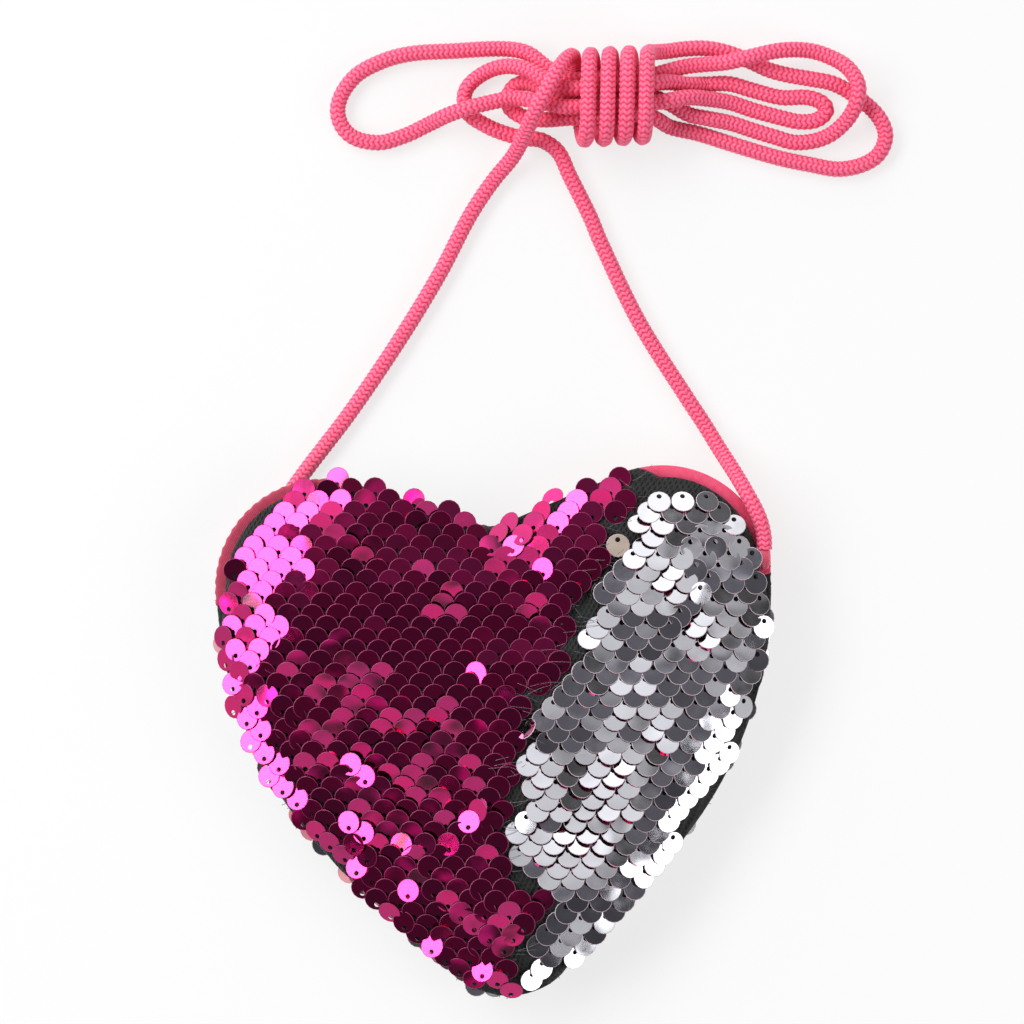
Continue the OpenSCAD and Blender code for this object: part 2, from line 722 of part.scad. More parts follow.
// Ring segment of the slider with the given share of its width
module slider_arc(r_from, r_to, low, height, from, span) {
  rotate([0, 0, from]) rotate_extrude(angle = span, $fn = 128)
    translate([r_from, low]) square([r_to - r_from, height]);
}

// Slider: two plates, two flanges, the post between the teeth and the bail
module zip_slider() {
  r_in = zip_r - slider_w / 2;
  r_out = zip_r + slider_w / 2;
  slot_low = zip_z - tape_t / 2 - slide_gap;
  post_a = slider_a * post_share;
  nose = slider_w * nose_share / 2;
  color([0.98, 0.35, 0.53]) union() {
    translate([zip_c.x, zip_c.y, 0]) difference() {
      union() {
        slider_arc(r_in, r_out, slider_top, slider_t, slider_from, slider_a);
        slider_arc(r_in, r_out, slider_low - slider_t, slider_t, slider_from, slider_a);
        slider_arc(
          r_in, r_in + slider_flange, slider_low, slot_low - slider_low, slider_from, slider_a
        );
        slider_arc(
          r_out - slider_flange, r_out, slider_low, slot_low - slider_low, slider_from, slider_a
        );
        slider_arc(
          zip_r - post_w / 2, zip_r + post_w / 2, slider_low, slider_top - slider_low,
          slider_from, post_a
        );
      }
      // Rounded shoulders at both ends
      for (end = [slider_from, slider_from + slider_a], side = [-1, 1])
        rotate([0, 0, end]) translate([zip_r + side * (nose + slider_w / 2), 0, 0])
          cylinder(h = heart_h, r = slider_w * fillet_share, center = true, $fn = round_fn);
    }
    translate([zip_c.x, zip_c.y, bail_z]) rotate([0, 0, slider_mid])
      translate([zip_r, 0, 0]) rotate([-90, 0, 90])
        rotate_extrude(angle = 180, $fn = round_fn) translate([bail_r, 0])
          circle(d = bail_d, $fn = 24);
  }
}

// Pull: a bar through the bail, two arms, and a tongue with an eye. It lies past the zip's end
module zip_pull() {
  arm = (pull_w - pull_slot_w) / 2;
  tongue = pull_l - pull_slot_l;
  color([0.98, 0.35, 0.53])
    translate([zip_c.x, zip_c.y, bar_z]) rotate([0, 0, slider_mid]) translate([zip_r, 0, 0])
      rotate([0, 0, 180]) difference() {
        union() {
          rotate([0, 90, 0])
            cylinder(h = pull_w - arm, d = bar_d, center = true, $fn = 24);
          translate([0, 0, -pull_t / 2]) linear_extrude(pull_t) difference() {
            union() {
              translate([-pull_w / 2, -bar_d / 2]) square([pull_w, pull_l - pull_w / 2]);
              translate([0, pull_l - pull_w / 2 - bar_d / 2]) circle(d = pull_w, $fn = round_fn);
            }
            translate([-pull_slot_w / 2, -bar_d]) square([pull_slot_w, bar_d + pull_slot_l]);
          }
        }
        translate([0, pull_l - eye_in - bar_d / 2, 0])
          cylinder(h = pull_t + 2 * over, d = pull_eye_d, center = true, $fn = round_fn);
      }
}

// Strap

// Tab of folded cloth that a cord's end is sewn in, along the heading a
module tab(at, low, a) {
  color([0.92, 0.3, 0.48]) translate([at.x, at.y, low]) rotate([0, 0, a])
    translate([-tab_l / 2, -tab_w / 2, 0]) cube([tab_l, tab_w, tab_h]);
}

module strap_tab_left() { tab(left_tab, left_tab_z, left_tab_a); }

module strap_tab_right() { tab(right_tab, front_rim_z, 90); }

function unit(v) = v / norm(v);

// Heading of the route at its point i, and a spot between points i and i + 1
last_stop = len(route) - 1;
function way(i) = unit(route[min(i + 1, last_stop)] - route[max(i - 1, 0)]);
function spot(i, u) = let (
  a = route[i], b = route[i + 1], l = norm(b - a), v = 1 - u,
  p = a * v * v * (1 + 2 * u) + b * u * u * (3 - 2 * u)
    + way(i) * l * u * v * v - way(i + 1) * l * u * u * v
) [p.x, p.y, max(cord_r, p.z)];
heading_share = 0.02;
function heading(i, u) = u == 0 ? way(i)
  : unit(spot(i, u + heading_share) - spot(i, u - heading_share));
function spans(i, pitch) = max(1, round(norm(route[i + 1] - route[i]) / pitch));

// Stops of a stretch of the route, each with its place and its heading
function stretch(from, to, pitch) = concat(
  [for (i = [from:to - 1]) let (n = spans(i, pitch)) for (k = [0:n - 1])
    [spot(i, k / n), heading(i, k / n)]],
  [[route[to], way(to)]]
);

// Round tube swept along a stretch, with headings carried from ring to ring
module tube(stops, sides) {
  n = len(stops);
  first = unit(cross(stops[0][1], [0, 0, 1]));
  normals = [
    for (i = 0, v = first; i < n; i = i + 1,
      v = i < n ? unit(v - (v * stops[i][1]) * stops[i][1]) : v) v
  ];
  points = concat(
    [stops[0][0]],
    [for (i = [0:n - 1], k = [0:sides - 1]) let (
      w = cross(stops[i][1], normals[i]), t = 360 * (k + 0.5) / sides
    ) stops[i][0] + cord_r * (cos(t) * normals[i] + sin(t) * w)],
    [stops[n - 1][0]]
  );
  last = len(points) - 1;
  faces = concat(
    [for (k = [0:sides - 1]) [0, 1 + k, 1 + (k + 1) % sides]],
    [for (i = [0:n - 2], k = [0:sides - 1]) let (
      a = 1 + i * sides + k, b = 1 + i * sides + (k + 1) % sides
    ) each [[a, b + sides, b], [a, a + sides, b + sides]]],
    [for (k = [0:sides - 1]) [last, last - sides + (k + 1) % sides, last - sides + k]]
  );
  polyhedron(points = points, faces = faces, convexity = 12);
}

// Points measured on each step of the hank, and how many count as neighbours
gap_steps = 4;
gap_skip = 16;

// Least distance between two stretches of the hank that aren't neighbours, less the cord
function finer(stops, n) = [
  for (i = [0:len(stops) - 2], k = [0:n - 1])
    stops[i][0] + (stops[i + 1][0] - stops[i][0]) * k / n
];
function least_gap(points, skip) = min([
  for (i = [0:len(points) - 1 - skip], j = [i + skip:len(points) - 1])
    norm(points[i] - points[j])
]) - cord_d;

module strap_left_leg() {
  color([1, 0.33, 0.52]) tube(stretch(0, left_end, leg_pitch), 8);
}

module strap_hank() {
  stops = stretch(left_end, right_start, hank_pitch);
  echo(hank_rings = len(stops));
  echo(hank_gap = least_gap(finer(stops, gap_steps), gap_skip));
  color([1, 0.33, 0.52]) tube(stops, 6);
}

module strap_right_leg() {
  color([1, 0.33, 0.52]) tube(stretch(right_start, last_stop, leg_pitch), 8);
}

front_panel();
back_panel();
front_lining();
back_lining();
top_facing();
side_seam();
front_sequins_magenta();
front_sequins_silver();
back_sequins();
loose_sequin();
zip_tape_outer();
zip_tape_inner();
zip_teeth_outer();
zip_teeth_inner();
zip_top_stop();
zip_bottom_stop();
zip_slider();
zip_pull();
strap_tab_left();
strap_tab_right();
strap_left_leg();
strap_hank();
strap_right_leg();
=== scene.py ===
import math
import random

import bpy
import numpy as np
from mathutils import Matrix, Vector
from mathutils.bvhtree import BVHTree


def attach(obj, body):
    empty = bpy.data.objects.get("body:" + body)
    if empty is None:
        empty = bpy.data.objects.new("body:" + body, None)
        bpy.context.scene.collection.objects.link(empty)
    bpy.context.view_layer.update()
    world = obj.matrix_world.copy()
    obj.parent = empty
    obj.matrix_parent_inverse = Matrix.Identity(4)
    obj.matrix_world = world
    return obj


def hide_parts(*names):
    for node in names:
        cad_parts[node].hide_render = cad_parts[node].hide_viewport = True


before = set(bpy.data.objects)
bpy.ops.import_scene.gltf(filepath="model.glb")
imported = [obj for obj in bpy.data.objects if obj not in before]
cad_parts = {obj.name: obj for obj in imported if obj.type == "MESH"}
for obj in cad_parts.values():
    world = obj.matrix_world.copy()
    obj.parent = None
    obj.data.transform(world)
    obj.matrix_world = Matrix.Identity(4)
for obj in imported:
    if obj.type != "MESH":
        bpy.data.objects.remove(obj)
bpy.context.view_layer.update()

# ---------------------------------------------------------------- table, camera and light
# The purse lies on a white table and is seen from straight above, turned a little. Big soft
# boxes stand at its left and right, and a dark patch of the room hangs overhead.

MM = 0.001


def wire(tree, node, values):
    """Feeds a node's sockets with plain values or with the outputs of other nodes."""
    for key, value in values.items():
        if isinstance(value, bpy.types.NodeSocket):
            tree.links.new(value, node.inputs[key])
        else:
            node.inputs[key].default_value = value


def new_material(name):
    """A new material, its node tree and its Principled shader."""
    material = bpy.data.materials.new(name)
    material.use_nodes = True
    return material, material.node_tree, material.node_tree.nodes["Principled BSDF"]


def add(tree, kind, values=None, **settings):
    """A new node of that kind, set and then fed with the values."""
    node = tree.nodes.new(kind)
    for key, value in settings.items():
        setattr(node, key, value)
    wire(tree, node, values or {})
    return node


def maths(tree, operation, *values):
    return add(tree, "ShaderNodeMath", dict(enumerate(values)), operation=operation).outputs[0]


def times(tree, product, *others):
    for other in others:
        product = maths(tree, "MULTIPLY", product, other)
    return product


def rest_of(tree, share):
    return maths(tree, "SUBTRACT", 1.0, share)


def ramp(tree, value, start, end, low=0.0, high=1.0, step="SMOOTHSTEP"):
    """Low where the value is at start, high where it is at end, and a step between them."""
    return add(tree, "ShaderNodeMapRange", {
        "Value": value, "From Min": start, "From Max": end, "To Min": low, "To Max": high},
        interpolation_type=step).outputs["Result"]


def mixed(tree, share, low, high):
    """The colour low where the share is 0, and the colour high where it is 1."""
    return add(tree, "ShaderNodeMix", {"Factor": share, "A": low, "B": high},
               data_type="RGBA").outputs["Result"]


aim = Vector((4.55, 46.95, 9)) * MM
camera_height = 1.0
frame_width = 217.9 * MM
sensor_mm = 36
picture_turn = math.radians(-2.5)
camera_data = bpy.data.cameras.new("camera")
camera_data.sensor_width = sensor_mm
camera_data.lens = sensor_mm * camera_height / frame_width
camera = bpy.data.objects.new("camera", camera_data)
camera.location = aim + Vector((0, 0, camera_height))
camera.rotation_euler = (0, 0, picture_turn)
bpy.context.scene.collection.objects.link(camera)
bpy.context.scene.camera = camera

bpy.ops.object.select_all(action="DESELECT")
bpy.ops.mesh.primitive_plane_add(size=6, location=(0, 0, 0))
table = bpy.context.object
table.name = "table"
# The camera sees it partly as a glow, so that it stays white, and not at all from below
glow_share = 0.72
material, tree, shader = new_material("white_table")
wire(tree, shader, {"Base Color": (0.86, 0.86, 0.86, 1), "Roughness": 0.7})
path = add(tree, "ShaderNodeLightPath").outputs
seen = maths(tree, "MAXIMUM", path["Is Camera Ray"],
             maths(tree, "MAXIMUM", path["Is Glossy Ray"], path["Is Transmission Ray"]))
glow = add(tree, "ShaderNodeEmission", {"Color": (1, 1, 1, 1), "Strength": 1.0})
lit = add(tree, "ShaderNodeMixShader", {0: times(tree, seen, glow_share), 1: shader.outputs[0],
                                        2: glow.outputs[0]})
below = add(tree, "ShaderNodeNewGeometry").outputs["Backfacing"]
clear = add(tree, "ShaderNodeBsdfTransparent")
sides = add(tree, "ShaderNodeMixShader", {0: below, 1: lit.outputs[0], 2: clear.outputs[0]})
wire(tree, tree.nodes["Material Output"], {"Surface": sides.outputs[0]})
table.data.materials.append(material)


def soft_box(name, bearing, zenith, distance, width, height, radiance):
    """A lamp of that radiance, at a bearing from +X and an angle from straight up."""
    data = bpy.data.lights.new(name, "AREA")
    data.shape = "RECTANGLE"
    data.size, data.size_y = width, height
    data.energy = radiance * math.pi * width * height
    lamp = bpy.data.objects.new(name, data)
    b, z = math.radians(bearing), math.radians(zenith)
    out = Vector((math.cos(b) * math.sin(z), math.sin(b) * math.sin(z), math.cos(z)))
    lamp.location = Vector((0, 0.03, 0)) + out * distance
    lamp.rotation_mode = "QUATERNION"
    lamp.rotation_quaternion = out.to_track_quat("Z", "Y")
    bpy.context.scene.collection.objects.link(lamp)


soft_box("left_box", bearing=156, zenith=46, distance=0.9, width=1.15, height=0.34,
         radiance=6.0)
soft_box("right_box", bearing=-28, zenith=54, distance=0.9, width=0.7, height=0.44,
         radiance=3.0)

world = bpy.data.worlds.new("studio")
world.use_nodes = True
bpy.context.scene.world = world
tree = world.node_tree
toward = add(tree, "ShaderNodeTexCoord").outputs["Generated"]
parts = add(tree, "ShaderNodeSeparateXYZ", {0: toward}).outputs
# The dark patch: an oval round a direction that leans to -Y, with a soft edge
patch_lean, patch_inner, patch_outer = map(math.radians, (28, 44, 48))
patch_middle = Vector((0.0, -math.sin(patch_lean), math.cos(patch_lean)))
narrowed = add(tree, "ShaderNodeVectorMath", {0: toward, 1: (0.62, 1, 1)}, operation="MULTIPLY")
narrowed = add(tree, "ShaderNodeVectorMath", {0: narrowed.outputs["Vector"]},
               operation="NORMALIZE")
overhead = add(tree, "ShaderNodeVectorMath", {0: narrowed.outputs["Vector"], 1: patch_middle},
               operation="DOT_PRODUCT").outputs["Value"]
dark = ramp(tree, overhead, math.cos(patch_outer), math.cos(patch_inner))
# A pale strip crosses it, at a fall of 0.55 to 0.83 from straight up toward -Y
fall = maths(tree, "DIVIDE", times(tree, parts["Y"], -1.0),
             maths(tree, "MAXIMUM", parts["Z"], 0.01))
pale_strip = times(tree, ramp(tree, maths(tree, "ABSOLUTE", parts["X"]), 0.5, 0.4),
                   ramp(tree, fall, 0.55, 0.6), ramp(tree, fall, 0.83, 0.78))
dark_share = times(tree, dark, rest_of(tree, pale_strip))
# Round it the room grows lighter toward +Y, and its corner at +X and +Y is dark again
upper = ramp(tree, parts["Y"], 0.3, 0.55, 0.62, 1.0)
crown = ramp(tree, parts["Y"], 0.62, 0.72, 1.0, 1.6)
depth = ramp(tree, parts["Y"], -0.2, 0.25, 0.9, 0.76)
dark_corner = rest_of(tree, times(tree, ramp(tree, parts["X"], 0.26, 0.36),
                                  ramp(tree, parts["Y"], 0.26, 0.38), 0.9))
room = times(tree, upper, crown, dark_corner, rest_of(tree, times(tree, dark_share, depth)))
path = add(tree, "ShaderNodeLightPath").outputs
seen = maths(tree, "MAXIMUM", path["Is Camera Ray"], path["Is Transmission Ray"])
unseen = rest_of(tree, seen)
wire(tree, tree.nodes["Background"], {
    "Strength": maths(tree, "ADD", times(tree, room, unseen), seen),
    "Color": mixed(tree, times(tree, dark_share, unseen), (1, 1, 1, 1), (1.0, 0.96, 1.07, 1))})

# ---------------------------------------------------------------- strap
# A knitted polyester cord, 3.5 mm thick and about 1.03 m long, in coral pink. Six wales of
# stitches run along it. Its middle is folded into loops and wound round itself in a hank.

cord_d, cord_step, cord_sides = 3.5, 0.28, 24
wales, stitch = 6, 1.12
core_in, stitch_h, wale_h = 0.26, 0.2, 0.08

# The cord's route from the left tab to the right one. A point with no height lies on the table
left_route = [
    (-54.3, 39.3, 3.8), (-51.6, 42.4, 3.8), (-46.5, 48.5, 2.4), (-39, 58),
    (-29, 70), (-17.5, 85.5), (-8.5, 99), (-2.5, 109.5),
    (0.5, 114)]
cross_route = [
    (4, 118.5, 1.9), (8, 122.8, 4), (10.8, 127.2, 8.4), (13, 131.3, 12.6), (15.8, 135.8, 14.4),
    (18.8, 140.8, 12.8)]
wind_at, wind_w, wind_h, wind_pitch = (21.5, 134.5, 7.95), 9, 6.2, 4.1
turns, wind_steps = 4, 8


def squarish(t):
    """Bulges a circle's sine or cosine, so that the turn is nearly a rectangle."""
    return math.copysign(abs(t) ** 0.75, t)


wind_route = []
for i in range(turns * wind_steps + 1):
    a = -2 * math.pi * i / wind_steps
    wind_route.append((wind_at[0] + wind_pitch * i / wind_steps,
                       wind_at[1] + wind_w * squarish(math.cos(a)),
                       wind_at[2] + wind_h * squarish(math.sin(a))))
loops_route = [
    (39, 143.8, 4.6), (42, 144.1, 2.4), (46, 144.5), (50.5, 144.4),
    (55, 143.3), (60, 141.1), (63.5, 139.3), (67.5, 138),
    (72.5, 136.9), (77.5, 135.6), (82.5, 132.4), (86.8, 128),
    (88, 123.5), (85.3, 119.2), (78.5, 117.3), (71, 118.7),
    (64.5, 120.4), (55.5, 123.5), (48, 126.2), (42, 127.8, 2.6),
    (39.5, 129.2, 4.9), (36.5, 130.4, 6.3), (28, 130.5, 6.3), (20, 130.4, 6.3),
    (15, 130.4, 5), (10.5, 131.4, 3), (7.5, 134.4), (9, 138, 1.9), (12.5, 138.4, 3.2),
    (16, 136, 5.2), (20, 134.7, 6.1), (28, 134.5, 6.1), (35, 134.5, 6.1),
    (38.5, 134.1, 5.8), (42, 132.6, 5.5), (46, 130.2, 4.4), (50, 129.2, 3.9), (55, 128.1, 2.4),
    (60, 126.3, 1.8), (64, 124.9), (69, 123.4), (75, 124.2, 1.9),
    (79.5, 127.3, 3.8), (81.9, 131.3, 6), (82.3, 135, 6), (80.3, 138.8, 4.4), (77, 141.2, 3),
    (72.5, 142.8, 3.2), (66.5, 143, 5), (60.5, 142, 6), (55, 140.9, 5.6), (50, 140.8, 3.9),
    (46, 140.6, 3.2), (42, 139.7, 4), (38.5, 138.8, 5.4), (35, 138.5, 6.3), (28, 138.5, 6.3),
    (20, 138.8, 6.3),
    (16, 141.6, 5), (12, 145, 3.2), (7, 146.2), (-4, 146.2), (-13, 146),
    (-19.5, 144.5), (-25.5, 141.2), (-29, 135), (-27, 129.5),
    (-21, 127.3), (-15, 128.5), (-9.5, 130.8, 2), (-5.5, 132.3, 4.6),
    (-1, 133.5, 6.2), (4.5, 134.6, 6.3), (9, 135.1, 6.8), (14, 134, 8.8), (20, 132.5, 10),
    (28, 132.5, 10), (35, 132.5, 10),
    (39, 132.6, 9.7), (42, 133, 9.7), (46, 133.5, 8), (50, 133.3, 5.2), (55, 132.5, 2.8),
    (60, 130.7), (66, 128.8), (70, 127.8), (73.8, 128.2),
    (75.6, 130.5), (72.3, 132.8), (66, 133.2), (60, 135),
    (55, 136.6), (50, 136.7, 1.8), (46, 136.6, 4.5), (42, 137, 7.4), (38.5, 136.7, 9.7),
    (35, 136.5, 10), (28, 136.5, 10), (20, 136.5, 10),
    (16, 138.3, 9.4), (12, 141, 7.2), (7, 142.2, 4.4), (2, 140.8, 2), (-1.5, 137.4),
    (-1.2, 133), (2.5, 130), (6.5, 128.1), (10.5, 126.9),
    (14.5, 126.2), (17.8, 123.6), (20, 118.5)]
right_route = [
    (24, 109.5), (26, 104), (33.5, 86.5), (43.5, 69), (46.5, 64),
    (49.5, 58.5, 3.2), (52.5, 53, 7.2), (54.8, 48.3, 10.6), (56.8, 43.8, 11.5),
    (57.7, 39.9, 11.45), (57.7, 36.6, 11.45)]
route = left_route + cross_route + wind_route + loops_route + right_route
route = np.array([p if len(p) == 3 else (*p, cord_d / 2) for p in route], float)


def smooth_line(points, low, fine=24):
    """Points close together on the smooth curve through the given ones, never below low."""
    ways = np.gradient(points, axis=0)
    ways[1:-1] = points[2:] - points[:-2]
    ways /= np.linalg.norm(ways, axis=1)[:, None]
    out = []
    for a, b, wa, wb in zip(points[:-1], points[1:], ways[:-1], ways[1:]):
        length = np.linalg.norm(b - a)
        for u in np.arange(fine) / fine:
            v = 1 - u
            out.append(a * v * v * (1 + 2 * u) + b * u * u * (3 - 2 * u)
                       + wa * length * u * v * v - wb * length * u * u * v)
    out.append(points[-1])
    out = np.array(out)
    out[:, 2] = np.maximum(out[:, 2], low)
    return out


def even_steps(line, step):
    """The same line with points at even steps along it, and the distance of each."""
    along = np.r_[0, np.cumsum(np.linalg.norm(np.diff(line, axis=0), axis=1))]
    count = max(2, round(along[-1] / step))
    at = np.linspace(0, along[-1], count + 1)
    return np.stack([np.interp(at, along, line[:, k]) for k in range(3)], axis=1), at


def carried_frames(line, side):
    """Two directions across the line at each point, carried along it without twist."""
    ahead = np.gradient(line, axis=0)
    ahead /= np.linalg.norm(ahead, axis=1)[:, None]
    first = np.zeros_like(line)
    v = np.array(side, float)
    for i, t in enumerate(ahead):
        v = v - t * (v @ t)
        v /= np.linalg.norm(v)
        first[i] = v
    return first, np.cross(ahead, first)


def mesh_piece(name, verts, faces, material=None, uvs=None, smooth=True):
    """A new object at the origin from points in metres. uvs gives each point's place."""
    mesh = bpy.data.meshes.new(name)
    mesh.from_pydata([tuple(v) for v in verts], [], faces)
    if uvs is not None:
        layer = mesh.uv_layers.new(name="UVMap")
        for polygon in mesh.polygons:
            for loop in polygon.loop_indices:
                layer.data[loop].uv = uvs(polygon.index, mesh.loops[loop].vertex_index)
    mesh.polygons.foreach_set("use_smooth", [smooth] * len(mesh.polygons))
    mesh.validate()
    mesh.update()
    piece = bpy.data.objects.new(name, mesh)
    bpy.context.scene.collection.objects.link(piece)
    if material:
        mesh.materials.append(material)
    return piece


def swept(line, ring, side):
    """Points and faces of ring(i), a list of (across, up), swept along the line, with caps."""
    first, second = carried_frames(line, side)
    n, sides = len(line), len(ring(0))
    verts = [line[i] + first[i] * across + second[i] * up
             for i in range(n) for across, up in ring(i)]
    faces = []
    for i in range(n - 1):
        for k in range(sides):
            a, b = i * sides + k, i * sides + (k + 1) % sides
            faces.append((a, b, b + sides, a + sides))
    faces.append(tuple(range(sides - 1, -1, -1)))
    faces.append(tuple((n - 1) * sides + k for k in range(sides)))
    return verts, faces


line, along = even_steps(smooth_line(route, cord_d / 2), cord_step)
turn = 2 * math.pi / cord_sides
heights = []
for i in range(len(line)):
    ring = []
    for k in range(cord_sides):
        across = abs(((k + 0.5) / (cord_sides / wales)) % 1 - 0.5) * 2
        phase = along[i] / stitch + 0.5 * across
        ridge = 0.5 - 0.5 * math.cos(2 * math.pi * phase)
        ring.append(cord_d / 2 - core_in + stitch_h * ridge * (1 - 0.4 * across ** 4)
                    + wale_h * (1 - across * across))
    heights.append(ring)


def knit_ring(i):
    """The cord's outline at a point of its line: six wales, high where a stitch is."""
    return [(heights[i][k] * math.cos((k + 0.5) * turn), heights[i][k] * math.sin((k + 0.5) * turn))
            for k in range(cord_sides)]


def knit_uv(polygon, vertex):
    """One unit of U for each wale, and one of V for each stitch."""
    i, k = divmod(vertex, cord_sides)
    column = polygon % cord_sides
    if column == cord_sides - 1 and k == 0 and polygon < (len(line) - 1) * cord_sides:
        k = cord_sides
    return ((k + 0.5) * wales / cord_sides, along[i] / stitch)


def effect_group(name, inputs, outputs):
    """A node group with sockets of the given kinds, what it is given, and its output node."""
    group = bpy.data.node_groups.new(name, "ShaderNodeTree")
    for in_out, sockets in (("INPUT", inputs), ("OUTPUT", outputs)):
        for socket, kind in sockets.items():
            group.interface.new_socket(socket, in_out=in_out, socket_type="NodeSocket" + kind)
    return group, group.nodes.new("NodeGroupInput").outputs, group.nodes.new("NodeGroupOutput")


def noise(tree, place, scale, detail, roughness=0.5):
    """Soft random mottling, from 0 to 1."""
    return add(tree, "ShaderNodeTexNoise", {
        "Vector": place, "Scale": scale, "Detail": detail,
        "Roughness": roughness}).outputs["Fac"]


def relief(tree, height, depth, strength):
    """The normal of a fine relief, depth mm high where the height is 1."""
    return add(tree, "ShaderNodeBump", {"Strength": strength, "Distance": depth * MM,
                                        "Height": height}).outputs[0]


knit, given, made = effect_group("knit_stitch", {"UV": "Vector"},
                                 {"Height": "Float", "Gap": "Float"})
parts = add(knit, "ShaderNodeSeparateXYZ", {0: given["UV"]}).outputs
across = times(knit, maths(knit, "ABSOLUTE", maths(
    knit, "SUBTRACT", maths(knit, "FRACT", parts["X"]), 0.5)), 2.0)
phase = maths(knit, "FRACT", maths(knit, "ADD", parts["Y"], times(knit, across, 0.5)))
ridge = rest_of(knit, times(knit, maths(knit, "ABSOLUTE", maths(
    knit, "SUBTRACT", phase, 0.5)), 2.0))
edge = maths(knit, "POWER", across, 5.0)
middle = maths(knit, "POWER", rest_of(knit, across), 6.0)
valley = maths(knit, "MAXIMUM", edge, times(knit, middle, 0.7))
height = times(knit, maths(knit, "POWER", ridge, 0.7), rest_of(knit, times(knit, valley, 0.6)))
# The gap share is 1 between the stitches, where painted shade darkens the cord
wire(knit, made, {"Height": height, "Gap": ramp(knit, height, 0.45, 0.12)})

material, tree, shader = new_material("knitted_cord")
uv = add(tree, "ShaderNodeUVMap", uv_map="UVMap").outputs[0]
stitches = add(tree, "ShaderNodeGroup", {"UV": uv}, node_tree=knit).outputs
# Painted highlight: the cord is lighter on its stitches' tops, mottled at random
tone = mixed(tree, times(tree, stitches["Height"], noise(tree, uv, 3.1, 3.0, 0.7)),
             (1.0, 0.06, 0.2, 1), (1.0, 0.34, 0.5, 1))
# Painted shade: the cord is darker in the gaps between its stitches
wire(tree, shader, {
    "Base Color": mixed(tree, stitches["Gap"], tone, (0.8, 0.008, 0.045, 1)),
    "Roughness": 0.62, "Sheen Weight": 0.35, "Sheen Roughness": 0.4,
    "Sheen Tint": (1, 0.62, 0.72, 1), "Normal": relief(tree, stitches["Height"], 0.16, 0.7)})

verts, faces = swept(line, knit_ring, (0, 0, 1))

strap = mesh_piece("knitted_cord_strap", np.array(verts) * MM, faces, material, knit_uv)
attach(strap, "bag")
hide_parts("strap_left_leg", "strap_hank", "strap_right_leg")
[tuple(p * MM) for p in even_steps(line, 1.4)[0]]

# ---------------------------------------------------------------- back panel
# Black knitted net, cut as a heart and curved up to the seam from the flat part that the
# purse lies on. A window is cut in it where the zip runs round the right lobe.

heart_w, heart_h = 118, 111
lobe_r, flank_r, tip_r, cleft_r, cleft_d = 23, 86, 16, 8, 11.5
front_rim, seam_mid = 9.7, 9.0
cloth_t = 0.5
band_w, left_band_w = 2.6, 2.1
lobe_c = np.array([heart_w / 2 - lobe_r, heart_h / 2 - lobe_r])
flank_c = np.array([lobe_c[0] + lobe_r - flank_r, lobe_c[1]])
tip_c = np.array([0, tip_r - heart_h / 2])
cleft_c = np.array([0, heart_h / 2 - cleft_d + cleft_r])
span = lobe_c - cleft_c
cleft_a = math.degrees(math.atan2(lobe_c[0], -span[1])
                       - math.acos((lobe_r + cleft_r) / np.linalg.norm(span)))
span = tip_c - flank_c
flank_a = math.degrees(math.atan2(-span[1], span[0])
                       - math.acos((flank_r - tip_r) / np.linalg.norm(span)))


def arc_points(centre, radius, start, end, steps):
    """Points on an arc. The radius may be one for each point."""
    t = np.radians(np.linspace(start, end, steps + 1))
    return centre + (np.stack([np.cos(t), np.sin(t)], axis=1).T * radius).T


def heart_outline(inset=0.0, band=0.0, left_band=0.0):
    """The heart's edge, counter-clockwise. The bands narrow the front round the lobes."""
    turn = np.linspace(90 + cleft_a, 0, 61)
    share = np.clip(np.minimum((turn + 20) / 10, (100 - turn) / 10), 0, 1)
    fade = np.clip(1 + np.linspace(-1, -flank_a, 41) / 7, 0, 1)

    def half(band):
        return np.concatenate([
            arc_points(cleft_c, cleft_r + inset, -90, cleft_a - 90, 12),
            arc_points(lobe_c, lobe_r - inset - band * share, 90 + cleft_a, 0, 60),
            arc_points(flank_c, flank_r - inset - band * fade, -1, -flank_a, 40),
            arc_points(tip_c, tip_r - inset, -flank_a, -90, 16)])
    right, left = half(band), half(left_band)[1:-1][::-1] * [-1, 1]
    return np.concatenate([right, left])[::-1]


def even_loop(loop, count):
    """That many points at even steps round the loop."""
    closed = np.vstack([loop, loop[:1]])
    along = np.r_[0, np.cumsum(np.linalg.norm(np.diff(closed, axis=0), axis=1))]
    at = np.arange(count) * along[-1] / count
    return np.stack([np.interp(at, along, closed[:, k]) for k in range(2)], axis=1)


def reach_table(loop):
    """How far the loop lies from the middle in each of many directions."""
    bearing = np.arctan2(loop[:, 1], loop[:, 0])
    order = np.argsort(bearing)
    b, r = bearing[order], np.linalg.norm(loop[order], axis=1)
    return (np.r_[b[-1] - 2 * math.pi, b, b[0] + 2 * math.pi], np.r_[r[-1], r, r[0]])


front_edge, back_edge = heart_outline(0, band_w, left_band_w), heart_outline()
front_reach, back_reach = reach_table(front_edge), reach_table(back_edge)


def share_out(table, x, y):
    """0 in the heart's middle and 1 at the edge that the table gives."""
    return np.hypot(x, y) / np.interp(np.arctan2(y, x), *table)


flat_z, back_top = 1.05, 7.5
front_start, front_rise = 0.8, 9.5


def back_height(x, y):
    s = share_out(back_reach, x, y)
    return flat_z + (back_top - flat_z) * np.clip((s - 0.6) / 0.4, 0, 1.05) ** 1.3


def front_height(x, y):
    s = share_out(front_reach, x, y)
    return (front_rim + front_start
            + front_rise * np.clip(1 - np.minimum(s, 1) ** 3, 0, 1) ** 0.6)


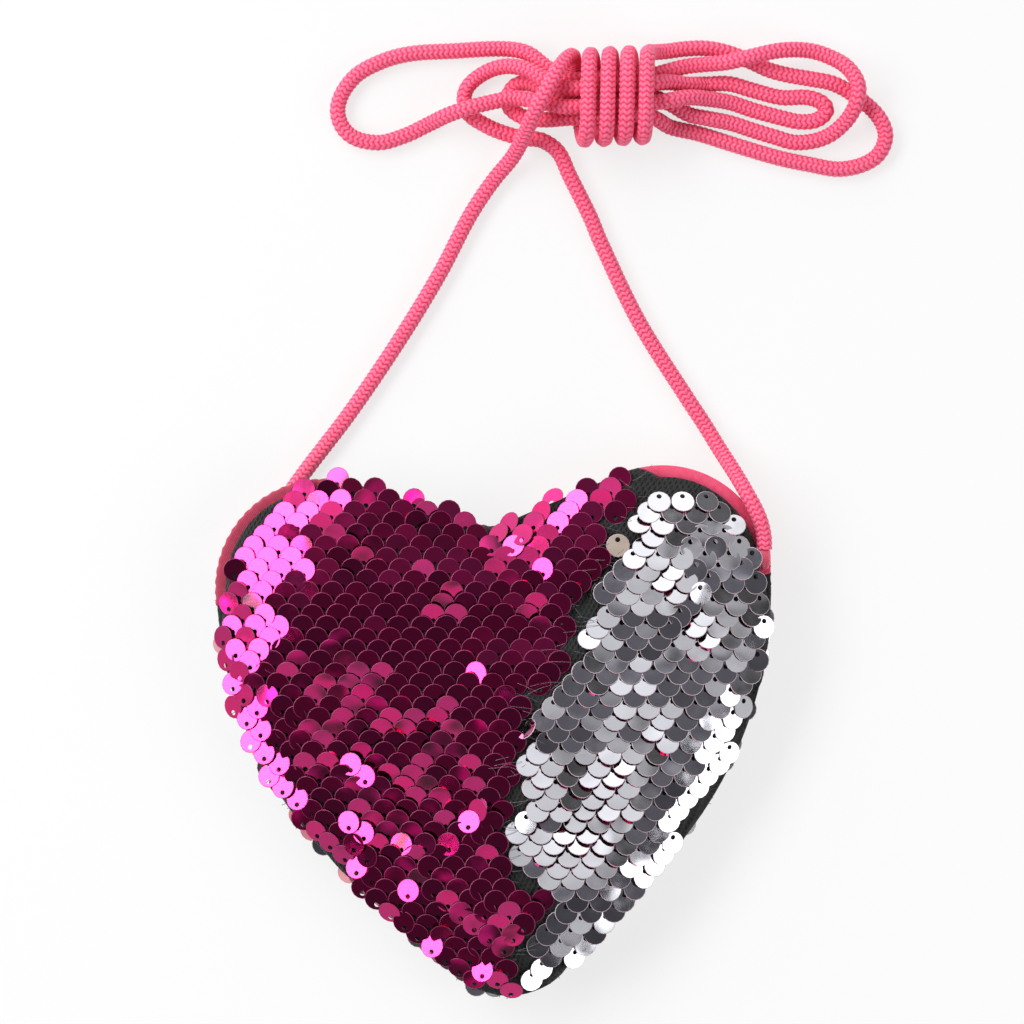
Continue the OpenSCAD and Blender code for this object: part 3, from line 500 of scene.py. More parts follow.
def heart_grid(loop, shares, height, up, hem=()):
    """Points and faces of a sheet over the heart, from its middle out to its rim. The hem
    gives further rings as (move outwards in mm, height)."""
    n = len(loop)
    verts = [(0, 0, float(height(0.0, 1e-6)))]
    for s in shares:
        ring = loop * s
        verts += [(x, y, z) for (x, y), z in zip(ring, height(ring[:, 0], ring[:, 1]))]
    away = loop / np.linalg.norm(loop, axis=1)[:, None]
    for move, z in hem:
        verts += [(x, y, z) for x, y in loop + away * move]
    faces = [(0, 1 + i, 1 + (i + 1) % n) for i in range(n)]
    for k in range(len(shares) + len(hem) - 1):
        for i in range(n):
            a, b = 1 + k * n + i, 1 + k * n + (i + 1) % n
            faces.append((a, a + n, b + n, b))
    if not up:
        faces = [tuple(reversed(f)) for f in faces]
    return np.array(verts), faces


def only(piece):
    """Selects the piece alone, for an operator."""
    bpy.ops.object.select_all(action="DESELECT")
    piece.select_set(True)
    bpy.context.view_layer.objects.active = piece


def solidify(piece, thickness):
    """Gives a sheet its thickness, on its inner side."""
    only(piece)
    bpy.ops.object.modifier_add(type="SOLIDIFY")
    wall = piece.modifiers[-1]
    wall.thickness, wall.offset, wall.use_even_offset = thickness * MM, -1.0, True
    bpy.ops.object.modifier_apply(modifier=wall.name)


billow_moments = 18


def let_billow(piece, rim, push, spread, cap):
    """Lets a panel of cloth billow with its rim held. No point moves further than cap."""
    before = np.array([v.co for v in piece.data.vertices])
    held = piece.vertex_groups.new(name="held")
    held.add(rim, 1.0, "REPLACE")
    only(piece)
    bpy.ops.object.modifier_add(type="CLOTH")
    cloth = piece.modifiers[-1]
    settings = cloth.settings
    settings.quality = 6
    settings.mass = 0.12
    settings.tension_stiffness = settings.compression_stiffness = 12
    settings.shear_stiffness = 4
    settings.bending_stiffness = 0.05
    settings.vertex_group_mass = "held"
    settings.use_pressure = True
    settings.uniform_pressure_force = push
    settings.shrink_min = -spread
    settings.effector_weights.gravity = 0
    cloth.point_cache.frame_end = billow_moments
    for moment in range(1, billow_moments + 1):
        bpy.context.scene.frame_set(moment)
    bpy.ops.object.modifier_apply(modifier=cloth.name)
    bpy.context.scene.frame_set(1)
    after = np.array([v.co for v in piece.data.vertices])
    moved = after - before
    far = np.linalg.norm(moved, axis=1)[:, None]
    moved *= cap * MM * np.tanh(far / (cap * MM)) / np.maximum(far, 1e-9)
    piece.data.vertices.foreach_set("co", (before + moved).ravel())
    piece.vertex_groups.clear()
    piece.data.update()


def cloth_material(name, low, high, scale, depth, rough, sheen):
    """Knitted or woven cloth: rows of small eyes, coloured low in the gaps as painted shade and
    high on top, mottled at random.
    A metre of a row has twice as many eyes as the scale says. They are depth mm deep."""
    material, tree, shader = new_material(name)
    place = add(tree, "ShaderNodeTexCoord").outputs["Object"]
    weave = add(tree, "ShaderNodeGroup", {"Place": place, "Scale": scale},
                node_tree=net_effect).outputs["Height"]
    # Painted shade: the colour falls toward low in the eyes of the weave, and noise mottles it at
    # random
    gap_shade_and_mottle = times(tree, weave, noise(tree, place, 900.0, 2.0))
    wire(tree, shader, {
        "Base Color": mixed(tree, gap_shade_and_mottle, (*low, 1), (*high, 1)), "Roughness": rough,
        "Sheen Weight": sheen, "Normal": relief(tree, weave, depth, 0.8)})
    return material


net_effect, given, made = effect_group("net_of_eyes", {"Place": "Vector", "Scale": "Float"},
                                       {"Height": "Float"})
scaled = add(net_effect, "ShaderNodeVectorMath", {0: given["Place"], "Scale": given["Scale"]},
             operation="SCALE")
parts = add(net_effect, "ShaderNodeSeparateXYZ", {0: scaled.outputs[0]}).outputs
slant = maths(net_effect, "ADD", parts["X"], times(net_effect, parts["Z"], 0.7))
tall = times(net_effect, parts["Y"], 0.58)
rows, cols = (maths(net_effect, "SINE", times(net_effect, maths(net_effect, way, slant, tall),
                                              math.tau)) for way in ("ADD", "SUBTRACT"))
eyes = maths(net_effect, "POWER", maths(net_effect, "ABSOLUTE", times(net_effect, rows, cols)),
             1.5)
wire(net_effect, made, {"Height": rest_of(net_effect, eyes)})

black_net = cloth_material("black_net", (0.003, 0.003, 0.003), (0.026, 0.031, 0.029),
                           scale=460.0, depth=0.4, rough=0.8, sheen=0.08)

zip_r, zip_from, zip_to = 24, 14, 148
zip_c = np.array([30.4799, 24.4469])
# The window reaches in to the inner tape's seam, and a little past both tapes' ends
window_r, window_a = zip_r - 3.85, 0.8
ring_shares = 1 - (1 - np.linspace(0.06, 1, 26)) ** 1.5
loop = even_loop(back_edge, 180)
verts, faces = heart_grid(loop, ring_shares, back_height, up=False,
                          hem=[(0.12, 7.95), (-0.05, 8.42)])


def round_zip(p):
    """Distance and bearing in degrees of a point from the zip's centre."""
    away = p[:2] - zip_c
    return np.hypot(*away), math.degrees(math.atan2(away[1], away[0]))


def in_window(p, margin=0.0, turn=0.0):
    far_out, bearing = round_zip(p)
    return (far_out > window_r - margin and p[0] > 0
            and zip_from - window_a - turn < bearing < zip_to + window_a + turn)

# The cloth is cut away behind the zip, along an arc and two straight ends
cut_out = [in_window(np.mean([verts[v] for v in f], axis=0)) for f in faces]
at_cut = {v for f, gone in zip(faces, cut_out) if gone for v in f} & {
    v for f, gone in zip(faces, cut_out) if not gone for v in f}
for v in at_cut:
    far_out, bearing = round_zip(verts[v])
    ends = [(abs(far_out - window_r), window_r, bearing)]
    ends += [(far_out * abs(math.radians(bearing - e)), max(far_out, window_r), e)
             for e in (zip_from - window_a, zip_to + window_a)]
    _, far_out, bearing = min(ends)
    verts[v][:2] = zip_c + far_out * np.array([math.cos(math.radians(bearing)),
                                               math.sin(math.radians(bearing))])
faces = [f for f, gone in zip(faces, cut_out) if not gone]
# At each straight end the cloth turns up to the zip and in behind the tapes
lip_z, lip_turn = 7.35, 2.0
held = list(at_cut)
for end, inward in ((zip_from - window_a, lip_turn), (zip_to + window_a, -lip_turn)):
    row = sorted((round_zip(verts[v])[0], v) for v in at_cut
                 if abs(round_zip(verts[v])[1] - end) < 0.05 and verts[v][2] < lip_z - 0.05)
    base, n, turned_in = len(verts), len(row), math.radians(end + inward)
    inner_way = np.array([math.cos(turned_in), math.sin(turned_in)])
    up = [(*verts[v][:2], lip_z) for _, v in row]
    behind = [(*(zip_c + r * inner_way), lip_z + 0.05) for r, _ in row]
    verts = np.vstack([verts, up, behind])
    held += range(base, len(verts))
    for k in range(n - 1):
        a, b = row[k][1], row[k + 1][1]
        faces += [(a, b, base + k + 1, base + k),
                  (base + k, base + k + 1, base + n + k + 1, base + n + k)]
back_cloth = mesh_piece("back_net_cloth", verts * MM, faces, black_net)
# Held too: the rim, the part that lies on the table, and 4 mm round the window
held += [i for i, p in enumerate(verts) if share_out(back_reach, p[0], p[1]) > 0.985
         or share_out(back_reach, p[0], p[1]) < 0.5 or in_window(p, margin=4.0)]
let_billow(back_cloth, held, push=1.5, spread=0.01, cap=0.35)
solidify(back_cloth, cloth_t)
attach(back_cloth, "bag")
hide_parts("back_panel")

# ---------------------------------------------------------------- linings
# Plain pink polyester inside the pouch, one sheet under the front and one over the back,
# sewn in with the rims. The back one is cut away for the zip.

pink_lining = cloth_material("pink_lining", (0.62, 0.05, 0.16), (0.9, 0.2, 0.34),
                             scale=1500.0, depth=0.08, rough=0.55, sheen=0.4)
lining_t = 0.35
lining_shares = 1 - (1 - np.linspace(0.1, 1, 14)) ** 1.4
for side, inset, height in (
        ("front", 3.0, lambda x, y: np.maximum(front_height(x, y) - 2.2, 8.6)),
        ("back", 3.4, lambda x, y: back_height(x, y) + 1.2)):
    lining_loop = even_loop(heart_outline(inset, band_w), 120)
    verts, faces = heart_grid(lining_loop, lining_shares, height, up=True)
    if side == "back":
        faces = [f for f in faces
                 if not in_window(np.mean([verts[v] for v in f], axis=0), margin=1.0, turn=7.0)]
    lining = mesh_piece(side + "_lining_sheet", verts * MM, faces, pink_lining)
    solidify(lining, lining_t)
    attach(lining, "bag")
    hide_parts(side + "_lining")

# ---------------------------------------------------------------- zip
# A coral coil zip round the right lobe. Its outer tape runs from the teeth to the edge, up the
# side and in under the front panel, where it shows as the smooth band beside the sequins.

tape_pink = cloth_material("zip_tape_cloth", (0.85, 0.025, 0.11), (1.0, 0.15, 0.3),
                           scale=1300.0, depth=0.1, rough=0.6, sheen=0.3)
# Heights of the tapes beside the teeth, of the inner one's sewn end, and of the outer one's
# end under the front. Its width is limited where the zip passes the cleft
tape_low, tape_high, sewn_low = 6.75, 7.25, 3.8
under_low, under_high = 9.15, 9.62
tape_gap, tape_fold, tape_out_max = 0.8, 3.8, 34.4


def ray_out(centre, bearing, loop):
    """Distance from the centre to the loop along a bearing."""
    d = np.array([math.cos(bearing), math.sin(bearing)])
    a, b = loop - centre, np.roll(loop, -1, axis=0) - centre
    e = b - a
    det = d[0] * e[:, 1] - d[1] * e[:, 0]
    det[det == 0] = 1e-12
    s = (a[:, 0] * e[:, 1] - a[:, 1] * e[:, 0]) / det
    u = (a[:, 0] * d[1] - a[:, 1] * d[0]) / det
    hits = s[(s > 0) & (u >= 0) & (u <= 1)]
    return hits.min() if len(hits) else tape_out_max


def rounded(profile, radius=0.18):
    """The closed profile with each corner cut by two points."""
    out = []
    for k, p in enumerate(profile):
        p, a, b = np.array(p), np.array(profile[k - 1]), np.array(profile[(k + 1) % len(profile)])
        for q in (a, b):
            d = np.linalg.norm(q - p)
            out.append(p + (q - p) * min(radius / d, 0.45))
    return out


def turned_tape(name, profile_at, node, steps=150):
    """A tape round the zip's centre. profile_at(bearing) gives (radius, height) points."""
    verts, faces = [], []
    bearings = np.radians(np.linspace(zip_from + 0.1, zip_to - 0.1, steps + 1))
    for b in bearings:
        for r, z in rounded(profile_at(b)):
            verts.append((zip_c[0] + r * math.cos(b), zip_c[1] + r * math.sin(b), z))
    n = len(verts) // (steps + 1)
    for i in range(steps):
        for k in range(n):
            a, b = i * n + k, i * n + (k + 1) % n
            faces.append((a, b, b + n, a + n))
    faces += [tuple(range(n))[::-1], tuple(steps * n + k for k in range(n))]
    tape = mesh_piece(name, np.array(verts) * MM, faces, tape_pink)
    only(tape)
    bpy.ops.object.mode_set(mode="EDIT")
    bpy.ops.mesh.select_all(action="SELECT")
    bpy.ops.mesh.normals_make_consistent(inside=False)
    bpy.ops.object.mode_set(mode="OBJECT")
    bpy.ops.object.shade_smooth_by_angle(angle=math.radians(50))
    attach(tape, "bag")
    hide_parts(node)


def outer_profile(b):
    """Flat from the teeth to the heart's edge, up the side, and in under the front."""
    out = min(ray_out(zip_c, b, back_edge), tape_out_max)
    return [(zip_r + tape_gap, tape_low), (out - 0.02, tape_low), (out + 0.05, 8.2),
            (out - 0.02, under_high), (out - tape_fold, under_high + 0.03),
            (out - tape_fold, under_low + 0.05), (out - 0.5, under_low), (out - 0.5, tape_high),
            (zip_r + tape_gap, tape_high)]


turned_tape("zip_tape_round_lobe", outer_profile, "zip_tape_outer")
# Flat from the teeth toward the zip's centre, and down to the back cloth
turned_tape("zip_tape_on_back", lambda b: [
    (zip_r - tape_gap, tape_low), (zip_r - tape_gap, tape_high), (20.2, tape_high),
    (20.2, sewn_low), (20.7, sewn_low), (20.7, tape_low)], "zip_tape_inner")


def glossy_material(name, colour, metallic, rough, wear):
    """Moulded plastic or plated metal with a fine grain and mottled wear."""
    material, tree, shader = new_material(name)
    place = add(tree, "ShaderNodeTexCoord").outputs["Object"]
    grain = noise(tree, place, 1400.0, 4.0)
    wire(tree, shader, {
        "Base Color": mixed(tree, noise(tree, place, 240.0, 3.0), (*colour, 1), (*wear, 1)),
        "Roughness": ramp(tree, grain, 0.3, 0.7, rough * 0.8, rough * 1.4, "LINEAR"),
        "Metallic": metallic, "Normal": relief(tree, grain, 0.03, 0.25)})
    return material


teeth_finish = glossy_material("coral_nylon", (0.86, 0.06, 0.16), 0.0, 0.3, (0.93, 0.13, 0.25))
nickel = glossy_material("nickel_plate", (0.72, 0.7, 0.68), 1.0, 0.22, (0.6, 0.58, 0.56))
coral_enamel = glossy_material("coral_enamel", (0.9, 0.07, 0.19), 0.0, 0.22, (0.94, 0.1, 0.24))
for name, finish in (("zip_teeth_outer", teeth_finish), ("zip_teeth_inner", teeth_finish),
                     ("zip_top_stop", nickel), ("zip_bottom_stop", nickel),
                     ("zip_slider", coral_enamel), ("zip_pull", coral_enamel)):
    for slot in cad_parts[name].material_slots:
        slot.material = finish

# ---------------------------------------------------------------- front panel
# Black knitted net over thin wadding, sewn to the back at the rim. It billows, with its rim held.

# Shallow dents and swells of the wadding: middle, reach and height
dents = [(-14, 12, 13, 0.55), (14, -14, 11, -0.5), (-30, 22, 10, 0.6), (-20, -12, 12, -0.5),
         (36, 12, 10, 0.5), (30, 34, 8, 0.7), (4, 34, 8, -0.5), (18, -30, 9, 0.5),
         (-6, -34, 9, 0.4), (-40, 8, 9, -0.5), (44, 30, 7, -0.4)]


def dented_height(x, y):
    z = front_height(x, y)
    fade = np.clip((1 - share_out(front_reach, x, y)) / 0.12, 0, 1)
    for dx, dy, wide, tall in dents:
        z = z + fade * tall * np.exp(-((x - dx) ** 2 + (y - dy) ** 2) / (2 * wide * wide))
    return z


loop = even_loop(front_edge, 216)
ring_shares = 1 - (1 - np.linspace(0.045, 1, 34)) ** 1.5
verts, faces = heart_grid(loop, ring_shares, dented_height, up=True,
                          hem=[(0.14, 10.05), (-0.05, 9.62)])
front_cloth = mesh_piece("front_net_cloth", verts * MM, faces, black_net)
rim = list(range(len(verts) - 3 * len(loop), len(verts)))
let_billow(front_cloth, rim, push=2.0, spread=0.03, cap=0.7)
front_tree = BVHTree.FromPolygons([v.co.copy() for v in front_cloth.data.vertices],
                                  [tuple(p.vertices) for p in front_cloth.data.polygons])
back_tree = BVHTree.FromPolygons([v.co.copy() for v in back_cloth.data.vertices],
                                 [tuple(p.vertices) for p in back_cloth.data.polygons])
solidify(front_cloth, cloth_t)
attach(front_cloth, "bag")
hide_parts("front_panel")

# ---------------------------------------------------------------- seam and facing
# The rims are sewn together. A black edge strip shows down the flanks and round the tip, and
# a pink facing along the top edge of the left lobe and the cleft.


def edge_strip(name, line, material, node, wide, high):
    """A folded strip, bulged between its stitches, along an open line at the seam."""
    line, along = even_steps(line, 0.7)
    stitch_apart, swelling = 2.2, 0.09
    corners = [(math.cos(t), math.sin(t)) for t in np.arange(12) * math.pi / 6 + 0.26]

    def ring(i):
        swell = 1 + swelling * math.sin(along[i] * 2 * math.pi / stitch_apart)
        return [(wide / 2 * swell * np.sign(c) * abs(c) ** 0.6,
                 high / 2 * np.sign(s) * abs(s) ** 0.6) for c, s in corners]
    verts, faces = swept(line, ring, (1, 0, 0.01))
    strip = mesh_piece(name, np.array(verts) * MM, faces, material)
    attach(strip, "bag")
    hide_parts(node)


black_tape = cloth_material("black_edge_tape", (0.004, 0.004, 0.004), (0.035, 0.037, 0.037),
                            scale=900.0, depth=0.15, rough=0.85, sheen=0.06)
# Painted shade: the facing is the same pink cloth as the tape, darkened to a dusky pink as if in
# shadow
facing_pink_painted_shade = cloth_material("facing_cloth", (0.4, 0.012, 0.05), (0.7, 0.07, 0.16),
                             scale=1200.0, depth=0.1, rough=0.6, sheen=0.3)
# Black below this place on the left edge, pink from there over the left lobe to the cleft
change_at = (-57.8, 32.4)
mid_loop = even_loop(heart_outline(1.15), 400)
start = int(np.argmin(np.hypot(*(mid_loop - change_at).T)))
mid_loop = np.roll(mid_loop, -start, axis=0)
low_side = mid_loop[mid_loop[:, 1] < change_at[1]]
high_side = mid_loop[(mid_loop[:, 1] > change_at[1] + 0.2) & (mid_loop[:, 0] < -0.3)]
# The pink one laps over the black one's end
high_side = np.vstack([high_side, low_side[:3]])
edge_strip("black_side_seam", np.c_[low_side, np.full(len(low_side), seam_mid)], black_tape,
           "side_seam", wide=2.3, high=1.25)
edge_strip("pink_top_facing", np.c_[high_side, np.full(len(high_side), seam_mid)], facing_pink_painted_shade,
           "top_facing", wide=2.9, high=1.3)

# ---------------------------------------------------------------- strap tabs
# Each end of the cord is folded into a tab of the pink facing, and the tab is sewn through
# with two lines of stitches.
tab_pink = cloth_material("tab_cloth", (0.9, 0.06, 0.14), (1.0, 0.22, 0.35),
                          scale=1200.0, depth=0.1, rough=0.6, sheen=0.3)
tab_l, tab_w = 4, 2.6
stitch_r, stitch_apart, stitches_across, stitches_up = 0.16, 0.72, 1.1, 0.7


def strap_tab(name, x, y, low, high, turn, node):
    """A folded tab with a thin free end, from height low to high."""
    bpy.ops.object.select_all(action="DESELECT")
    bpy.ops.mesh.primitive_cube_add(size=1, location=(0, 0, 0))
    tab = bpy.context.object
    tab.name = name
    tab.scale = (tab_l * MM, tab_w * MM, (high - low) * MM)
    bpy.ops.object.transform_apply(location=False, rotation=False, scale=True)
    bpy.ops.object.mode_set(mode="EDIT")
    bpy.ops.mesh.select_all(action="SELECT")
    bpy.ops.mesh.subdivide(number_cuts=5)
    bpy.ops.object.mode_set(mode="OBJECT")
    for v in tab.data.vertices:
        u, w = v.co.x * 2 / (tab_l * MM), v.co.z * 2 / ((high - low) * MM)
        v.co.y *= 1 - 0.25 * abs(w) ** 3 - 0.45 * max(0.0, -u) ** 2
        v.co.z *= 1 - 0.1 * u * u - 0.3 * max(0.0, -u) ** 2
    only(tab)
    bpy.ops.object.modifier_add(type="SUBSURF")
    tab.modifiers[-1].levels = tab.modifiers[-1].render_levels = 1
    bpy.ops.object.modifier_apply(modifier=tab.modifiers[-1].name)
    stitches = []
    for side in (-1, 1):
        for k in range(-2, 3):
            bpy.ops.object.select_all(action="DESELECT")
            bpy.ops.mesh.primitive_uv_sphere_add(
                segments=10, ring_count=6, radius=stitch_r * MM,
                location=(k * stitch_apart * MM, side * stitches_across * MM, stitches_up * MM))
            stitch_ball = bpy.context.object
            stitch_ball.scale = (2.0, 1, 1)
            bpy.ops.object.transform_apply(location=True, rotation=False, scale=True)
            stitches.append(stitch_ball)
    only(tab)
    for ball in stitches:
        ball.select_set(True)
    bpy.ops.object.join()
    tab.data.transform(Matrix.Translation((x * MM, y * MM, (low + high) / 2 * MM))
                       @ Matrix.Rotation(math.radians(turn), 4, "Z"))
    tab.data.materials.clear()
    tab.data.materials.append(tab_pink)
    bpy.ops.object.shade_smooth()
    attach(tab, "bag")
    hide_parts(node)


# The left one hangs below the back cloth, and the right one stands on the front's rim
left_tab = (-55.6, 37.7)
sewn_at = back_tree.ray_cast(Vector((*left_tab, -20)) * MM, Vector((0, 0, 1)))[0].z / MM
strap_tab("left_strap_tab", *left_tab, low=2.2, high=sewn_at + 0.2, turn=50,
          node="strap_tab_left")
strap_tab("right_strap_tab", 57.7, 34.55, low=front_rim, high=12.9, turn=90,
          node="strap_tab_right")

# ---------------------------------------------------------------- sequins
# Flat discs of dyed and metallised film, magenta on one face and silver on the other, each
# sewn on by one thread through a hole off its middle, so that it can be flipped up or down.

disc_r, flat_r, hole_r, hole_off = 2.5, 2.37, 0.55, 1.25
rim_drop, film_t = 0.07, 0.09
pitch_x, pitch_y, row_lean = 5.0, 2.4, 0.43
sides = 16

bpy.ops.object.select_all(action="DESELECT")
bpy.ops.mesh.primitive_circle_add(vertices=sides, radius=flat_r, fill_type="NOTHING")
disc = bpy.context.object
bpy.ops.object.select_all(action="DESELECT")
bpy.ops.mesh.primitive_circle_add(vertices=sides, radius=hole_r, fill_type="NOTHING",
                                  location=(0, -hole_off, 0))
eye = bpy.context.object
bpy.ops.object.transform_apply(location=True, rotation=False, scale=False)
only(disc)
eye.select_set(True)
bpy.ops.object.join()
bpy.ops.object.mode_set(mode="EDIT")
bpy.ops.mesh.select_all(action="SELECT")
bpy.ops.mesh.bridge_edge_loops()
bpy.ops.mesh.select_all(action="DESELECT")
bpy.ops.object.mode_set(mode="OBJECT")


def pick_rim(radius):
    """Selects the disc's edge loop that lies at that distance from its middle."""
    near = [abs(math.hypot(v.co.x, v.co.y) - radius) < 0.02 for v in disc.data.vertices]
    for v, yes in zip(disc.data.vertices, near):
        v.select = yes
    for e in disc.data.edges:
        e.select = near[e.vertices[0]] and near[e.vertices[1]]
    for p in disc.data.polygons:
        p.select = False


pick_rim(flat_r)
bpy.ops.object.mode_set(mode="EDIT")
bpy.ops.mesh.extrude_edges_move(TRANSFORM_OT_translate={"value": (0, 0, -rim_drop)})
bpy.ops.transform.resize(value=(disc_r / flat_r, disc_r / flat_r, 1), center_override=(0, 0, 0))
bpy.ops.object.mode_set(mode="OBJECT")
disc_verts = np.array([v.co for v in disc.data.vertices])
disc_faces = [tuple(p.vertices) for p in disc.data.polygons]
bpy.data.objects.remove(disc)
# Each face's kind is its place among the films: 0 on top, 1 underneath and 2 at a cut edge
disc_kinds = [2 if max(np.hypot(*disc_verts[v][:2]) for v in f) > 2.4 else 0 for f in disc_faces]


def in_turn(chosen, middle_y):
    """The chosen points of the disc, in order round a middle on its Y axis."""
    return sorted(map(int, np.flatnonzero(chosen)), key=lambda i: math.atan2(
        disc_verts[i][1] - middle_y, disc_verts[i][0]))


lower = in_turn(disc_verts[:, 2] < -0.01, 0.0)
eye_ring = in_turn(abs(np.hypot(disc_verts[:, 0], disc_verts[:, 1] + hole_off) - hole_r) < 0.02,
                   -hole_off)
under = len(disc_verts)
disc_verts = np.vstack([disc_verts, disc_verts[eye_ring] - [0, 0, film_t]])
for k in range(sides):
    nxt = (k + 1) % sides
    disc_faces += [(lower[nxt], lower[k], under + k, under + nxt),
                   (eye_ring[nxt], eye_ring[k], under + k, under + nxt)]
    disc_kinds += [1, 2]


def normal_up(face):
    a, b, c = (disc_verts[face[k]] for k in range(3))
    return np.cross(b - a, c - a)[2]


# The top faces up and the underside down. The hole's wall keeps the way it has
disc_faces = [f if (k == 1) == (normal_up(f) < 0) or k == 2 and abs(normal_up(f)) < 1e-6
              else f[::-1] for f, k in zip(disc_faces, disc_kinds)]


def film_material(name, colour, deep, rough, metallic=1.0):
    """Metallised film under clear lacquer: faint waves, uneven gloss and uneven dye."""
    material, tree, shader = new_material(name)
    place = add(tree, "ShaderNodeTexCoord").outputs["Object"]
    tone = add(tree, "ShaderNodeAttribute", attribute_name="tone").outputs["Fac"]
    wire(tree, shader, {
        "Base Color": mixed(tree, tone, (*colour, 1), (*deep, 1)), "Metallic": metallic,
        "Roughness": ramp(tree, noise(tree, place, 320.0, 3.0), 0.35, 0.75, rough, rough * 2.2,
                          "LINEAR"),
        "Coat Weight": 0.8, "Coat Roughness": 0.06,
        "Normal": relief(tree, noise(tree, place, 170.0, 0.0), 0.16, 1.0)})
    return material


magenta_film = film_material("magenta_film", (0.92, 0.006, 0.21), (0.62, 0.014, 0.19), 0.06)
silver_film = film_material("silver_film", (0.76, 0.76, 0.83), (0.52, 0.52, 0.56), 0.08)
salmon_film = film_material("salmon_film", (0.93, 0.3, 0.36), (0.9, 0.46, 0.5), 0.3, 0.35)
champagne_film = film_material("champagne_film", (0.74, 0.6, 0.5), (0.66, 0.52, 0.44), 0.16)


def cut_edge_material(name, low, high):
    """The cut edge of a disc, where the film's dye shows through unevenly."""
    material, tree, shader = new_material(name)
    place = add(tree, "ShaderNodeTexCoord").outputs["Object"]
    wire(tree, shader, {
        "Base Color": mixed(tree, noise(tree, place, 700.0, 2.0), (*low, 1), (*high, 1)),
        "Roughness": 0.45, "Metallic": 0.15})
    return material


magenta_edge = cut_edge_material("magenta_cut_edge", (0.1, 0.003, 0.035), (0.4, 0.015, 0.13))
silver_edge = cut_edge_material("silver_cut_edge", (0.4, 0.39, 0.41), (0.7, 0.5, 0.58))


def sequin_field(name, places, films, node):
    """One mesh of discs. A place is (3x3 turn, centre, tone), films are top, under and edge."""
    count = len(disc_verts)
    verts = np.concatenate([disc_verts @ turn.T + centre for turn, centre, _ in places])
    faces = [tuple(v + i * count for v in f) for i in range(len(places)) for f in disc_faces]
    field = mesh_piece(name, verts * MM, faces, smooth=False)
    for film in films:
        field.data.materials.append(film)
    field.data.polygons.foreach_set("material_index", disc_kinds * len(places))
    tone = field.data.attributes.new("tone", "FLOAT", "POINT")
    tone.data.foreach_set("value", np.repeat([t for _, _, t in places], count))
    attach(field, "bag")
    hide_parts(node)
    return field


def axes(normal, heading):
    """The turn that faces a disc's top to the normal, and its far end to the heading."""
    n = normal / np.linalg.norm(normal)
    y = heading - n * (heading @ n)
    y /= np.linalg.norm(y)
    return np.stack([np.cross(y, n), y, n], axis=1)


# Where magenta changes to silver, from the right lobe down to the tip
zone_line = np.array([(31.9, 52.7), (26, 38.9), (20.7, 30), (17.1, 23.3), (13, 11.1),
                      (6.5, 6.7), (3, -5.6), (1.8, -14.4), (-1.2, -20.5), (0.6, -31.1),
                      (8.9, -36.1), (4.7, -42.2), (1.2, -48.3)])
loose_at = np.array([26.55, 40.182])


def zone_side(x, y):
    """How far a place lies to the right of that line. Silver is where it is positive."""
    return x - np.interp(y, zone_line[::-1, 1], zone_line[::-1, 0])


# Places where the sequins lie off the cloth's own slope, from folds and from being brushed:
# middle, reach, lean in degrees to +X and +Y, and the share of the sequins there that do
leans = [
    (-45, 35, 9.5, -5, 6, 0.93), (-50, 23, 7, -4, 6, 0.9), (-37, 46, 7, -6, 5, 0.9),
    (-56, 6, 8, 0, 12, 0.9), (-54, -6, 7, -2, 12, 0.8), (-50, 12, 6, -2, 8, 0.5),
    (-30, 20, 9, 4, -3, 1), (-38, 10, 9, 8, 0, 1), (-38, -2, 8, 7, 2, 1),
    (5, 42, 6, -12, 10, 0.9), (14, 47, 6, -12, 4, 0.9), (-20, 48, 8, 3, -15, 1),
    (-10, 44, 7, 2, -12, 1), (24, 48, 6, -2, -10, 1), (20, 38, 5, 0, -6, 1),
    (7, 25, 8, 0, -17, 0.8), (-9, 27, 6, 0, -17, 0.75), (-29, 39, 5, 4, -16, 0.8),
    (-28, -3, 9, 2, -7, 0.8), (-12, -13, 8, 1, -7, 0.85), (-18, 3, 7, 1, -6, 0.4),
    (-2, -18, 8, 2, 5, 1), (-4, -40, 9, 2, 9, 1), (-14, -32, 7, 4, 6, 0.8),
    (-36, -14, 10, -13, 13, 0.2), (-26, -24, 8, -12, 14, 0.2), (-8, -24, 8, -10, 14, 0.08),
    (30, 40, 4.5, -5, 15, 1), (37, 33, 4.5, -9, 18, 1), (43.5, 21, 4, -12, 20, 0.9),
    (51, 11, 3.5, -14, 22, 0.8),
    (46, 34, 9, -2, -9, 0.8), (34, 22, 8, -3, -7, 0.8), (50, 14, 8, -3, -7, 0.6),
    (20, 23.5, 4.5, -3, 8, 1), (26, 33, 4.5, -1, -6, 0.8),
    (30, 14, 8, 1, -3, 0.6), (29, 2, 11, 0, 9, 0.88),
    (14, -24, 12, -2, 14, 0.97), (24, -11, 9, -2, 12, 0.93),
    (7, -8, 7, 0, 9, 0.85), (34, 2, 6, -2, 6, 0.6), (40, -8, 8, -2, -4, 0.6),
    (34, -26, 7, -6, -4, 0.6), (14, -42, 8, -6, -2, 0.5),
    (1.4, -40.9, 1.7, -16, 24, 1), (11.4, 32.4, 2.4, -20, 8, 1), (-20, -34, 1.8, -14, 20, 1)]
lean_sides = [zone_side(*lean[:2]) > 0 for lean in leans]
rng = random.Random(7)


def leaning(x, y):
    """The lean to +X and +Y, in radians, that the patches give the sequin at that place."""
    u = v = 0.0
    for (px, py, reach, a, b, share), right in zip(leans, lean_sides):
        if right != (zone_side(x, y) > 0):
            continue
        w = min(1.0, 1.6 * math.exp(-((x - px) ** 2 + (y - py) ** 2) / (0.72 * reach * reach)))
        # Where few sequins lean, those that do lean fully
        if share > 0.3:
            w *= rng.random() < share
        else:
            w = float(w > 0.3 and rng.random() < share)
        u, v = u + w * a, v + w * b
    return math.radians(u), math.radians(v)


